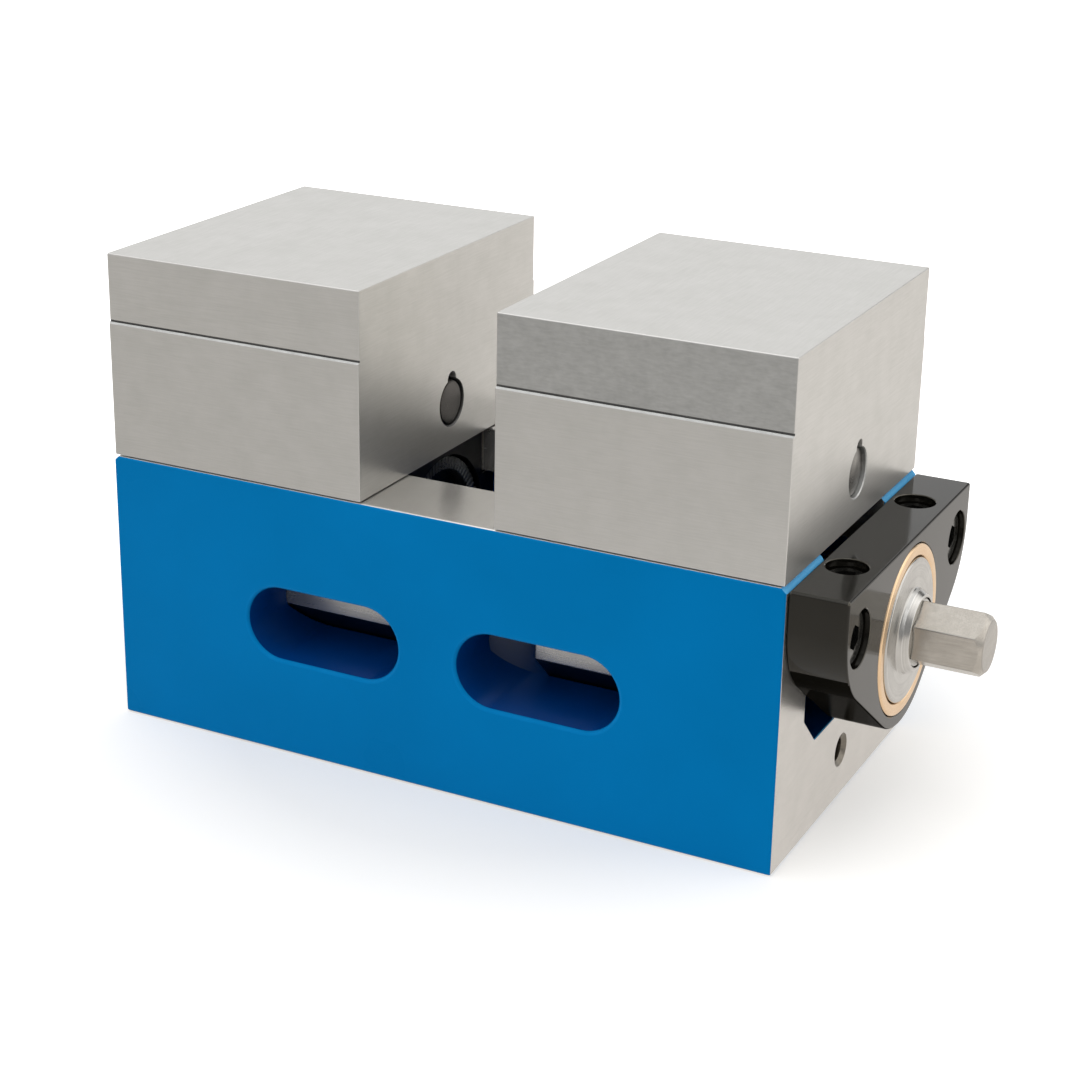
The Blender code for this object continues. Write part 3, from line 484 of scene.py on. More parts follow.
def make_black_oxide(name, dark, light, rub_and_glint, wear_and_light, rough, mirror=1.47):
    material, tree, shader, place = add_material(name, rough, 0.0)
    shader.inputs["IOR"].default_value = mirror
    shader.inputs["Specular Tint"].default_value = (1.0, 0.97, 0.88, 1)
    sizes = {"Vector": place, "Line Length": 0.02, "Cloud Size": 0.014}
    grain = add_node(tree, "ShaderNodeGroup", sizes, node_tree=GROUND_GRAIN).outputs
    scratches = (0.15, 0.000006, grain["Lines"])
    dress(tree, shader, place, grain["Clouds"], (dark, light, rub_and_glint), (rough + 0.03, rough - 0.03), scratches, wear_and_light)
    return material


plate_black = make_black_oxide(
    "plate_black_oxide", (0.004, 0.0036, 0.0026), (0.008, 0.0072, 0.0056), (0.13, 0.118, 0.095), 0.8, 0.12,
)
# The faces that look down get a copy of the black that mirrors next to nothing: painted shade that keeps them dark.
plate_underside_shade = make_black_oxide(
    "plate_underside_black", (0.005, 0.0046, 0.0035), (0.009, 0.0082, 0.0064), (0.10, 0.09, 0.07), 0.8, 0.16, 1.015,
)

foot_y = FOOT_RADIUS * math.sin(SLOPE)
foot_z = SCREW_HEIGHT - FOOT_RADIUS * math.cos(SLOPE)
corner_z = foot_z + (PLATE_HALF - foot_y) * math.tan(SLOPE)
corner_centre = (PLATE_HALF - CORNER_RADIUS, corner_z + CORNER_RADIUS * math.tan((math.pi / 2 - SLOPE) / 2))
right_side = [
    (FOOT_RADIUS * math.sin(a), SCREW_HEIGHT - FOOT_RADIUS * math.cos(a), 0)
    for a in (SLOPE * k / 14 for k in range(15))
] + [
    (corner_centre[0] + CORNER_RADIUS * math.sin(a), corner_centre[1] - CORNER_RADIUS * math.cos(a), 0)
    for a in (SLOPE + (math.pi / 2 - SLOPE) * k / 18 for k in range(19))
] + [(PLATE_HALF, PLATE_TOP, 0.0008)]
plate_outline = eased([right_side[0]] + mirrored(right_side[1:]), 4)
end_plate = drawn("end_plate", plate_outline, PLATE_BACK, PLATE_FACE, 0.0006)
cutters = [hole((PLATE_FACE, 0, SCREW_HEIGHT), 0.02, 0.0236, 0.0002, 128)]
for side in (-1, 1):
    bolt = (PLATE_FACE, side * PLATE_BOLT.y, PLATE_BOLT.z)
    dowel = (PLATE_BACK + 0.0083, side * DOWEL.y, DOWEL.z)
    top = (TOP_SCREW_X, side * TOP_SCREW_Y, PLATE_TOP)
    cutters += [
        hole(bolt, 0.02, 0.0043, 0, 48), hole(bolt, 0.0099, 0.0077, 0.0002, 72), hole(dowel, 0.010, 0.0033, 0, 32),
        hole(top, 0.0185, 0.0033, 0, 40, UPRIGHT), hole(top, 0.0085, 0.0056, 0.0002, 64, UPRIGHT),
    ]
carve(end_plate, cutters)
paint(end_plate, plate_black, plate_underside_shade)
# Faces that look down, low on the foot, take the shaded copy.
for polygon in end_plate.data.polygons:
    polygon.material_index = int(polygon.normal.z < -0.4 and polygon.center.z < SCREW_HEIGHT + 0.003)
settle(end_plate, "base", "bearing_plate", "black_oxide")


# Cap screws
# Four socket-head cap screws of black-oxided alloy steel, two into the body and two in the plate's top face. Their
# heads sit about 2 mm below the plate in counterbores, and each head is turned with a forged hexagon socket.
# Their edges are painted much brighter than the black: partly where the oxide has come off, partly a painted highlight.
screw_black = make_black_oxide(
    "screw_black_oxide", (0.005, 0.005, 0.005), (0.012, 0.012, 0.011), (0.28, 0.27, 0.25), 0.9, 0.14, 1.8,
)


def lathe_nodes(tree, stations, facets):
    """Nodes that turn a solid about Z through (height, radius) stations, which may be sockets."""
    index = add_node(tree, "GeometryNodeInputIndex").outputs[0]
    columns = []
    for column in (0, 1):
        switch = add_node(tree, "GeometryNodeIndexSwitch", data_type="FLOAT")
        while len(switch.index_switch_items) < len(stations):
            switch.index_switch_items.new()
        tree.links.new(index, switch.inputs[0])
        for i, station in enumerate(stations):
            if isinstance(station[column], bpy.types.NodeSocket):
                tree.links.new(station[column], switch.inputs[i + 1])
            else:
                switch.inputs[i + 1].default_value = station[column]
        columns.append(switch.outputs[0])
    line = add_node(tree, "GeometryNodeCurvePrimitiveLine")
    rows = add_node(tree, "GeometryNodeResampleCurve", {"Curve": line.outputs[0], "Count": len(stations)})
    point = add_node(tree, "ShaderNodeCombineXYZ", {"Z": columns[0]})
    placed = add_node(tree, "GeometryNodeSetPosition", {"Geometry": rows.outputs[0], "Position": point.outputs[0]})
    circle = add_node(tree, "GeometryNodeCurvePrimitiveCircle", {"Resolution": facets, "Radius": 1.0})
    sweep = {"Curve": placed.outputs[0], "Profile Curve": circle.outputs[0], "Scale": columns[1], "Fill Caps": True}
    return add_node(tree, "GeometryNodeCurveToMesh", sweep).outputs[0]


def close_tree(tree, geometry, finish, result):
    """The end of a tree: real faces with their material."""
    real = add_node(tree, "GeometryNodeRealizeInstances", {"Geometry": geometry})
    finished = add_node(tree, "GeometryNodeSetMaterial", {"Geometry": real.outputs[0], "Material": finish})
    tree.links.new(finished.outputs[0], result.inputs[0])
    return tree


def grow(name, tree, values, placement=Matrix.Identity(4)):
    """Sets a tree's inputs by their identifiers, evaluates it once and keeps the result as a plain mesh."""
    piece = bpy.data.objects.new(name, bpy.data.meshes.new(name))
    scene.collection.objects.link(piece)
    modifier = piece.modifiers.new(tree.name, "NODES")
    modifier.node_group = tree
    for socket in tree.interface.items_tree:
        if socket.in_out == "INPUT" and socket.name in values:
            modifier[socket.identifier] = values[socket.name]
    graph = bpy.context.evaluated_depsgraph_get()
    mesh = bpy.data.meshes.new_from_object(piece.evaluated_get(graph))
    piece.modifiers.clear()
    bm = bmesh.new()
    bm.from_mesh(mesh)
    bmesh.ops.remove_doubles(bm, verts=bm.verts, dist=1e-7)
    bmesh.ops.transform(bm, matrix=placement, verts=bm.verts)
    bmesh.ops.recalc_face_normals(bm, faces=bm.faces)
    bm.to_mesh(mesh)
    bm.free()
    piece.data = mesh
    return piece


def make_cap_screw_tree():
    """A row of two cap screws, each standing on its seat at height 0 with its head up."""
    tree, given, result = add_group(
        "cap_screws", "GeometryNodeTree",
        [
            ("Shank Radius", "NodeSocketFloat", 0.004), ("Shank Length", "NodeSocketFloat", 0.020),
            ("Head Radius", "NodeSocketFloat", 0.0071), ("Head Height", "NodeSocketFloat", 0.008),
            ("Socket Width", "NodeSocketFloat", 0.006), ("First Place", "NodeSocketVector", None),
            ("Step", "NodeSocketVector", None), ("Turn", "NodeSocketVector", None),
            ("Finish", "NodeSocketMaterial", None),
        ],
        [("Geometry", "NodeSocketGeometry")],
    )
    tree.is_modifier = True
    size = given.outputs
    tip = arithmetic(tree, "MULTIPLY", size["Shank Length"], -1.0)
    edge = arithmetic(tree, "DIVIDE", size["Head Height"], 14.0)
    top = size["Head Height"]
    rounding = arithmetic(tree, "MULTIPLY", edge, 0.3)
    stations = [
        (tip, arithmetic(tree, "SUBTRACT", size["Shank Radius"], 0.0005)),
        (arithmetic(tree, "ADD", tip, 0.0005), size["Shank Radius"]),
        (-0.000002, size["Shank Radius"]),
        (0.0, arithmetic(tree, "SUBTRACT", size["Head Radius"], 0.0002)),
        (0.0002, size["Head Radius"]),
        (arithmetic(tree, "SUBTRACT", top, edge), size["Head Radius"]),
        (arithmetic(tree, "SUBTRACT", top, rounding), arithmetic(tree, "SUBTRACT", size["Head Radius"], rounding)),
        (top, arithmetic(tree, "SUBTRACT", size["Head Radius"], edge)),
    ]
    blank = lathe_nodes(tree, stations, 64)
    across = arithmetic(tree, "DIVIDE", size["Socket Width"], math.sqrt(3))
    socket = add_node(tree, "GeometryNodeMeshCylinder", {"Vertices": 6, "Radius": across, "Depth": top})
    lift = add_node(tree, "ShaderNodeCombineXYZ", {"Z": top}).outputs[0]
    lifted = add_node(tree, "GeometryNodeTransform", {"Geometry": socket.outputs["Mesh"], "Translation": lift})
    meshes = {"Mesh 1": blank, "Mesh 2": lifted.outputs[0]}
    broached = add_node(tree, "GeometryNodeMeshBoolean", meshes, operation="DIFFERENCE", solver="EXACT")
    row = {"Count": 2, "Start Location": size["First Place"], "Offset": size["Step"]}
    turn = add_node(tree, "FunctionNodeEulerToRotation", {0: size["Turn"]})
    stood = add_node(tree, "GeometryNodeInstanceOnPoints", {
        "Points": add_node(tree, "GeometryNodeMeshLine", row).outputs[0],
        "Instance": broached.outputs["Mesh"], "Rotation": turn.outputs[0],
    })
    return close_tree(tree, stood.outputs[0], size["Finish"], result)


cap_screw_tree = make_cap_screw_tree()
plate_screws = grow("plate_screws", cap_screw_tree, {
    "First Place": (0.1081, -PLATE_BOLT.y, PLATE_BOLT.z), "Step": (0, 2 * PLATE_BOLT.y, 0),
    "Turn": (0, math.pi / 2, 0), "Finish": screw_black,
})
settle(plate_screws, "base", ("plate_screw_front", "plate_screw_back"), "black_oxide")
top_screws = grow("top_screws", cap_screw_tree, {
    "Shank Radius": 0.003, "Shank Length": 0.010, "Head Radius": 0.005, "Head Height": 0.006, "Socket Width": 0.005,
    "First Place": (TOP_SCREW_X, -TOP_SCREW_Y, 0.0710), "Step": (0, 2 * TOP_SCREW_Y, 0), "Turn": (0, 0, 0),
    "Finish": screw_black,
})
settle(top_screws, "base", ("top_screw_front", "top_screw_back"), "black_oxide")


# Bronze bushing
# A flanged bearing of turned bronze, pressed into the plate. Its rim shows as a thin warm ring round the collar,
# which runs in its counterbore.
AXIS = Matrix.Translation((0, 0, SCREW_HEIGHT)) @ ALONG_X


def make_turned_rings():
    """Fine tool rings about the X axis of the given coordinates, and faint clouds."""
    group, given, result = add_group(
        "turned_rings", "ShaderNodeTree",
        [("Vector", "NodeSocketVector", None), ("Ring Width", "NodeSocketFloat", 0.00025)],
        [("Rings", "NodeSocketFloat"), ("Clouds", "NodeSocketFloat")],
    )
    parts = add_node(group, "ShaderNodeSeparateXYZ", {0: given.outputs["Vector"]}).outputs
    flat = add_node(group, "ShaderNodeCombineXYZ", {"Y": parts["Y"], "Z": parts["Z"]})
    radius = add_node(group, "ShaderNodeVectorMath", {0: flat.outputs[0]}, operation="LENGTH").outputs["Value"]
    pair = add_node(group, "ShaderNodeCombineXYZ", {"X": radius, "Y": parts["X"]})
    fine = arithmetic(group, "DIVIDE", 1.0, given.outputs["Ring Width"])
    scaled = add_node(group, "ShaderNodeVectorMath", {0: pair.outputs[0], "Scale": fine}, operation="SCALE")
    group.links.new(noise(group, scaled.outputs["Vector"], 1.0, 2.0), result.inputs["Rings"])
    group.links.new(noise(group, given.outputs["Vector"], 150.0, 3.0), result.inputs["Clouds"])
    return group


TURNED_RINGS = make_turned_rings()


def make_turned_metal(name, dark, light, rough, edge_wear_and_light_colour, height=SCREW_HEIGHT, metallic=1.0, wear_and_light=1.0):
    material, tree, shader, place = add_material(name, rough, metallic)
    centred = add_node(tree, "ShaderNodeMapping", {"Vector": place, "Location": (0, 0, -height)})
    rings = add_node(tree, "ShaderNodeGroup", {"Vector": centred.outputs[0]}, node_tree=TURNED_RINGS).outputs
    tone = add_node(tree, "ShaderNodeMix", {0: 0.5, 2: rings["Clouds"], 3: rings["Rings"]}).outputs[0]
    marks = (0.4, 0.000008, rings["Rings"])
    shades = (dark, light, edge_wear_and_light_colour)
    dress(tree, shader, place, tone, shades, (rough + 0.05, rough - 0.05), marks, wear_and_light, 0.35, 0.65)
    return material


turned_bronze = make_turned_metal("turned_bronze", (0.82, 0.58, 0.36), (0.92, 0.68, 0.44), 0.28, (0.96, 0.78, 0.56))
profile = [
    (0.0095, 0.0999, 0.0003), (0.0234, 0.0999, 0.0004), (0.0234, 0.1181, 0.0008), (0.0199, 0.1181, 0.0010),
    (0.0199, 0.1126, 0.0002), (0.0095, 0.1126, 0.0003),
]
bronze_bushing = turned("bronze_bushing", profile, 128, AXIS, ring=True)
settle(bronze_bushing, "base", "screw_bushing", "bronze", turned_bronze)


# Thrust collar, washer and lead screw
# One turned steel screw with a right-hand thread in its left half and a left-hand one in its right half. A collar
# with a tapered hub is pinned on it and carries the thrust, and a ground hexagon for the wrench comes out of the hub.
collar_steel = make_turned_metal("collar_steel", (0.48, 0.47, 0.45), (0.61, 0.60, 0.575), 0.24, (0.64, 0.63, 0.61))
screw_steel = make_turned_metal("screw_steel", (0.40, 0.39, 0.37), (0.52, 0.51, 0.49), 0.3, (0.6, 0.6, 0.58))
# The hexagon's rounded edges are painted darker than its flats, a painted dark line along them.
hexagon_steel = make_ground_steel(
    "hexagon_steel", (0.45, 0.42, 0.375), (0.55, 0.52, 0.47), 0.24, (0.40, 0.38, 0.35), 0.006, 0.0003, 0.004,
)
profile = [
    (0.0095, 0.1129, 0.0002), (0.0197, 0.1129, 0.0003), (0.0197, 0.1184, 0.0006), (0.0117, 0.1184, 0.0008),
    (0.0113, 0.1198, 0.0008), (0.0102, 0.1214, 0.0005), (0.0095, 0.1214, 0),
]
collar = turned("collar", profile, 128, AXIS, ring=True)
settle(collar, "screw", "thrust_collar", "ground_steel", collar_steel)

THREAD_ROOT = 0.00925
LEAD = 0.005
profile = [
    (0, -0.090, 0), (0.0078, -0.090, 0.0003), (THREAD_ROOT, -0.0885, 0.0003), (THREAD_ROOT, 0.0925, 0),
    (0.012, 0.0925, 0.0003), (0.012, 0.094, 0.0003), (0.0092, 0.094, 0), (0.0092, 0.1212, 0.0003), (0, 0.1212, 0),
]
shaft = turned("shaft", profile, 96, AXIS)
HEXAGON_RADIUS = 0.00917
hexagon = []
for angle in (math.pi / 2 + math.pi * k / 3 for k in range(6)):
    hexagon.append((HEXAGON_RADIUS * math.cos(angle), HEXAGON_RADIUS * math.sin(angle), 0.0005))
drive = drawn("drive_hexagon", eased(hexagon, 3), 0.1195, 0.142, 0, AXIS)
cone = [
    (0, 0.118, 0), (0.0102, 0.118, 0), (0.0102, 0.1368, 0), (0.0092, 0.1377, 0.0008), (0.0069, 0.140, 0.0006),
    (0, 0.140, 0),
]
carve(drive, [turned("keep_chamfer", cone, 96, AXIS)], "INTERSECT")


def make_thread_tree():
    """A helical ridge of trapezoid section about Z, from height 0 up, which fades in and out over a turn."""
    tree, given, result = add_group(
        "thread_ridge", "GeometryNodeTree",
        [
            ("Turns", "NodeSocketFloat", 16.0), ("Lead", "NodeSocketFloat", LEAD),
            ("Root Radius", "NodeSocketFloat", THREAD_ROOT), ("Depth", "NodeSocketFloat", 0.00275),
            ("Left Hand", "NodeSocketBool", False), ("Finish", "NodeSocketMaterial", None),
        ],
        [("Geometry", "NodeSocketGeometry")],
    )
    tree.is_modifier = True
    size = given.outputs
    height = arithmetic(tree, "MULTIPLY", size["Turns"], size["Lead"])
    helix = add_node(tree, "GeometryNodeCurveSpiral", {
        "Resolution": 48, "Rotations": size["Turns"], "Height": height, "Reverse": size["Left Hand"],
        "Start Radius": size["Root Radius"], "End Radius": size["Root Radius"],
    })
    upright = add_node(tree, "GeometryNodeSetCurveNormal", {"Curve": helix.outputs[0]}, mode="Z_UP")
    foot, crest = (arithmetic(tree, "MULTIPLY", size["Lead"], share) for share in (0.315, 0.185))
    corners = [(-0.0003, foot, -1.0), (size["Depth"], crest, -1.0), (size["Depth"], crest, 1.0), (-0.0003, foot, 1.0)]
    points = {}
    for i, (reach, half, sign) in enumerate(corners):
        corner = {"X": arithmetic(tree, "MULTIPLY", reach, -1.0), "Y": arithmetic(tree, "MULTIPLY", half, sign)}
        points[f"Point {i + 1}"] = add_node(tree, "ShaderNodeCombineXYZ", corner).outputs[0]
    section = add_node(tree, "GeometryNodeCurvePrimitiveQuadrilateral", points, mode="POINTS")
    along = add_node(tree, "GeometryNodeSplineParameter").outputs["Factor"]
    entering = arithmetic(tree, "MULTIPLY", along, size["Turns"])
    leaving = arithmetic(tree, "SUBTRACT", size["Turns"], entering)
    nearest_end = arithmetic(tree, "MINIMUM", entering, leaving)
    fade = arithmetic(tree, "MAXIMUM", arithmetic(tree, "MINIMUM", nearest_end, 1.0), 0.03)
    sweep = {"Curve": upright.outputs[0], "Profile Curve": section.outputs[0], "Scale": fade, "Fill Caps": True}
    return close_tree(tree, add_node(tree, "GeometryNodeCurveToMesh", sweep).outputs[0], size["Finish"], result)


def join(*pieces):
    """Joins the pieces into the first one."""
    chosen = list(pieces)
    with bpy.context.temp_override(
        active_object=chosen[0], object=chosen[0], selected_objects=chosen, selected_editable_objects=chosen,
    ):
        bpy.ops.object.join()


thread_tree = make_thread_tree()
right_hand = grow("right_hand_thread", thread_tree, {"Finish": screw_steel}, AXIS @ Matrix.Translation((0, 0, -0.0865)))
left_values = {"Left Hand": True, "Finish": screw_steel}
left_hand = grow("left_hand_thread", thread_tree, left_values, AXIS @ Matrix.Translation((0, 0, 0.0085)))
for part in (shaft, right_hand, left_hand):
    paint(part, screw_steel)
paint(drive, hexagon_steel)
join(shaft, right_hand, left_hand, drive)
settle(shaft, "screw", "lead_screw", "ground_steel")

paint(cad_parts["thrust_washer"], collar_steel)


# Jaws
# Two hardened steel blocks, ground on every face. The upper half of each side is set back behind a small chamfered
# ledge with a relief groove. The plug and its notch in each end are where the half-ball is put in and turned.
jaw_steel = make_ground_steel(
    "jaw_ground_steel", (0.635, 0.63, 0.60), (0.70, 0.69, 0.665), 0.32, (0.66, 0.65, 0.63), metallic=0.74,
)
# Darker steel: a painted darker reflection on the right jaw's upper sides, painted shade on the ledge and rear holes.
band_shade_steel = make_ground_steel(
    "jaw_band_steel", (0.46, 0.465, 0.455), (0.56, 0.565, 0.555), 0.4, (0.56, 0.56, 0.545), 0.003, 0.0008, 0.004, 0.3,
)
# The relief groove and the walls of the front plug holes and notches are painted near-black, as painted shade.
groove_shade_steel = make_ground_steel("jaw_groove_steel", (0.10, 0.10, 0.10), (0.16, 0.16, 0.155), 0.5, (0.13, 0.13, 0.125))
JAW_GAP = 0.0406
JAW_LENGTH = 0.0808
JAW_LOW = 0.0803
JAW_STEP = 0.1193
JAW_TOP = 0.1387
PLUG_Z = 0.0945
PLUG_HOLE = 0.0068
NOTCH = 0.0023
BALL_RADIUS = 0.0108
WEDGE_X = 0.0195
jaw_outline = eased(mirrored([
    (BODY_SIDE, JAW_LOW, 0.0004), (BODY_SIDE, JAW_STEP + 0.0015, 0), (0.0503, JAW_STEP + 0.0025, 0),
    (0.0503, JAW_TOP, 0.0004),
]), 3)
# What is ground off each side above the step, seen from above, and the groove with its ledge, seen from the end.
relief = eased([
    (-0.001, 0.052, 0), (-0.001, 0.0498, 0), (-0.00002, 0.0498, 0), (-0.00002, 0.05029, 0.0003),
    (JAW_LENGTH + 0.00002, 0.05029, 0.0003), (JAW_LENGTH + 0.00002, 0.0498, 0), (JAW_LENGTH + 0.001, 0.0498, 0),
    (JAW_LENGTH + 0.001, 0.052, 0),
], 3)
ledge = [
    (0.0500, JAW_STEP - 0.0001), (0.0503, JAW_STEP - 0.0001), (0.0510, JAW_STEP - 0.0008), (0.0520, JAW_STEP - 0.0008),
    (0.0520, JAW_STEP + 0.0005), (0.0500, JAW_STEP + 0.0005),
]
CARRIAGES = {
    "left": Matrix.Translation((-JAW_GAP / 2, 0, 0)) @ Matrix.Rotation(math.pi, 4, "Z"),
    "right": Matrix.Translation((JAW_GAP / 2, 0, 0)),
}
WEDGE_TURN = math.radians(60)


def wedge_x(height):
    """How far behind the jaw's face the wedge lies, at a height above the bed."""
    return WEDGE_X - (height - 0.0145) / math.tan(WEDGE_TURN)


for name, place in CARRIAGES.items():
    jaw = drawn(f"{name}_jaw_block", jaw_outline, 0, JAW_LENGTH, 0.0003, place @ ALONG_X)
    for sign in (-1, 1):
        carve(jaw, [
            drawn("cut_relief", [(x, sign * y) for x, y in relief], JAW_STEP + 0.0003, JAW_TOP + 0.002, 0, place),
            drawn("cut_ledge", [(sign * x, y) for x, y in ledge], -0.002, JAW_LENGTH + 0.002, 0, place @ ALONG_X),
        ])
    lean = 0.0015 / math.sin(WEDGE_TURN)
    pocket = [
        (BED - 0.002, wedge_x(-0.002) - lean), (BED - 0.002, 0.0455), (BED + 0.0255, 0.0455),
        (BED + 0.0255, wedge_x(0.0255) - lean),
    ]
    dome = [(0, -0.001, 0), (BALL_RADIUS, -0.001, 0)]
    dome += [(BALL_RADIUS * math.cos(a), BALL_RADIUS * math.sin(a), 0) for a in (math.pi * k / 24 for k in range(12))]
    dome += [(0, BALL_RADIUS, 0)]
    slope = Vector((-math.sin(WEDGE_TURN), 0, -math.cos(WEDGE_TURN)))
    ball_place = place @ Matrix.Translation(Vector((WEDGE_X, 0, PLUG_Z)) + slope * 0.0003)
    ball_place = ball_place @ slope.to_track_quat("Z", "Y").to_matrix().to_4x4()
    plug = place @ Matrix.Translation((0, 0, PLUG_Z))
    notch = place @ Matrix.Translation((0, 0, PLUG_Z + 0.0068))
    inner = Matrix.Rotation(math.pi, 4, "Z") @ ALONG_X
    outer = Matrix.Translation((JAW_LENGTH, 0, 0)) @ ALONG_X
    carve(jaw, [
        drawn("cut_pocket", pocket, -0.0193, 0.0193, 0, place @ ALONG_Y),
        turned("cut_ball", dome, 48, ball_place),
        hole((0, 0, 0), 0.014, PLUG_HOLE, 0.0003, 72, plug @ inner),
        hole((0, 0, 0), 0.003, NOTCH, 0.0002, 32, notch @ inner),
        hole((0, 0, 0), JAW_LENGTH - 0.044, PLUG_HOLE, 0.0003, 72, plug @ outer),
        hole((0, 0, 0), 0.003, NOTCH, 0.0002, 32, notch @ outer),
    ])
    paint(jaw, jaw_steel, band_shade_steel, groove_shade_steel)
    for polygon in jaw.data.polygons:
        centre, normal = polygon.center, polygon.normal
        out = abs(centre.y)
        wall = math.hypot(centre.y, centre.z - PLUG_Z) < 0.0072 and abs(normal.x) < 0.9
        groove = out > 0.0499 and JAW_STEP - 0.00015 < centre.z < JAW_STEP + 0.00055
        # The ledge chamfer takes the darker steel, painted shade that dims its highlight.
        chamfer = out > 0.0503 and JAW_STEP - 0.001 < centre.z < JAW_STEP and normal.z > 0.4
        # Only the right jaw's upper sides take the painted darker reflection.
        band = name == "right" and abs(normal.y) > 0.9 and centre.z > JAW_STEP and out > 0.050
        # The groove and the walls of the front holes take the near-black of the painted shade.
        dark = groove or wall and abs(centre.x) < 0.05
        # The walls of the rear plug holes take the darker steel as painted shade.
        polygon.material_index = 2 if dark else int(wall or chamfer or band)
    settle(jaw, f"{name}_jaw", f"jaw_{name}", "ground_steel")


# Plugs and half-balls
# A black plug closes the hole in front of the half-ball, and a steel one the hole behind the wedge. Both are turned
# and pushed in a little below the jaw's face. The half-ball behind them is polished bearing steel.
PLUG_RADIUS = 0.0066
plug_black = make_turned_metal(
    "plug_black_oxide", (0.03, 0.028, 0.025), (0.065, 0.062, 0.055), 0.24, (0.1, 0.095, 0.09), PLUG_Z, wear_and_light=0.8,
)
# The rear plug's rounded rims are painted dark, a painted shade where the plug meets its hole.
plug_steel = make_turned_metal(
    "plug_steel", (0.42, 0.405, 0.38), (0.56, 0.54, 0.51), 0.3, (0.16, 0.155, 0.145), PLUG_Z,
)
for name, place in CARRIAGES.items():
    axis = place @ Matrix.Translation((0, 0, PLUG_Z)) @ ALONG_X
    start, end = 0.0004, 0.0084
    profile = [(0, start, 0), (PLUG_RADIUS, start, 0.0008), (PLUG_RADIUS, end, 0.0006), (0, end, 0)]
    front = turned(f"{name}_front_plug", profile, 72, axis)
    settle(front, f"{name}_jaw", f"front_plug_{name}", "black_oxide", plug_black)
    start, end = 0.0443, JAW_LENGTH - 0.0012
    profile = [(0, start, 0), (PLUG_RADIUS, start, 0.0006), (PLUG_RADIUS, end, 0.0004), (0, end, 0)]
    rear = turned(f"{name}_rear_plug", profile, 72, axis)
    settle(rear, f"{name}_jaw", f"rear_plug_{name}", "ground_steel", plug_steel)
    paint(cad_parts[f"half_ball_{name}"], collar_steel)
for name in ("front", "back"):
    paint(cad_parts[f"plate_dowel_{name}"], collar_steel)


# Nuts and their rings
# Each jaw is drawn by a T-shaped steel nut with a wedge on top. It is ground bright steel, and its ends below
# the bed, the faces that look down, its recess and its bore are painted near-black, as painted shade. The round recess
# in its face holds a black ring on a spigot, whose face is serrated for turning by hand.
nut_steel = make_ground_steel("nut_steel", (0.58, 0.57, 0.54), (0.66, 0.65, 0.62), 0.28, (0.72, 0.71, 0.69))
nut_shade_black = make_ground_steel(
    "nut_black_oxide", (0.012, 0.013, 0.016), (0.026, 0.028, 0.033), 0.3, (0.08, 0.082, 0.088),
)
ring_black = make_turned_metal(
    "ring_black_oxide", (0.13, 0.135, 0.14), (0.26, 0.27, 0.28), 0.3, (0.36, 0.37, 0.38), metallic=0.8, wear_and_light=0.8,
)
nut_outline = eased(mirrored([
    (0.0220, 0.0273, 0.001), (0.0310, 0.0363, 0.001), (0.0310, 0.0657, 0.0008), (0.0237, 0.0657, 0.0003),
    (0.0237, 0.0797, 0.0008),
]), 3)


def make_rib_tree():
    """Short radial ribs evenly round a circle about Z."""
    tree, given, result = add_group(
        "ring_ribs", "GeometryNodeTree",
        [
            ("Count", "NodeSocketInt", 72), ("Radius", "NodeSocketFloat", 0.0214),
            ("Rib Length", "NodeSocketFloat", 0.0034), ("Rib Width", "NodeSocketFloat", 0.0008),
            ("Rib Height", "NodeSocketFloat", 0.0005), ("Finish", "NodeSocketMaterial", None),
        ],
        [("Geometry", "NodeSocketGeometry")],
    )
    tree.is_modifier = True
    size = given.outputs
    circle = add_node(tree, "GeometryNodeMeshCircle", {"Vertices": size["Count"], "Radius": size["Radius"]})
    sides = {"X": size["Rib Length"], "Y": size["Rib Width"], "Z": size["Rib Height"]}
    rib = add_node(tree, "GeometryNodeMeshCube", {"Size": add_node(tree, "ShaderNodeCombineXYZ", sides).outputs[0]})
    index = add_node(tree, "GeometryNodeInputIndex").outputs[0]
    turn = arithmetic(tree, "DIVIDE", arithmetic(tree, "MULTIPLY", index, math.tau), size["Count"])
    turn = add_node(tree, "ShaderNodeCombineXYZ", {"Z": turn})
    facing = add_node(tree, "FunctionNodeEulerToRotation", {0: turn.outputs[0]})
    ribs = add_node(tree, "GeometryNodeInstanceOnPoints", {
        "Points": circle.outputs[0], "Instance": rib.outputs["Mesh"], "Rotation": facing.outputs[0],
    })
    return close_tree(tree, ribs.outputs[0], size["Finish"], result)


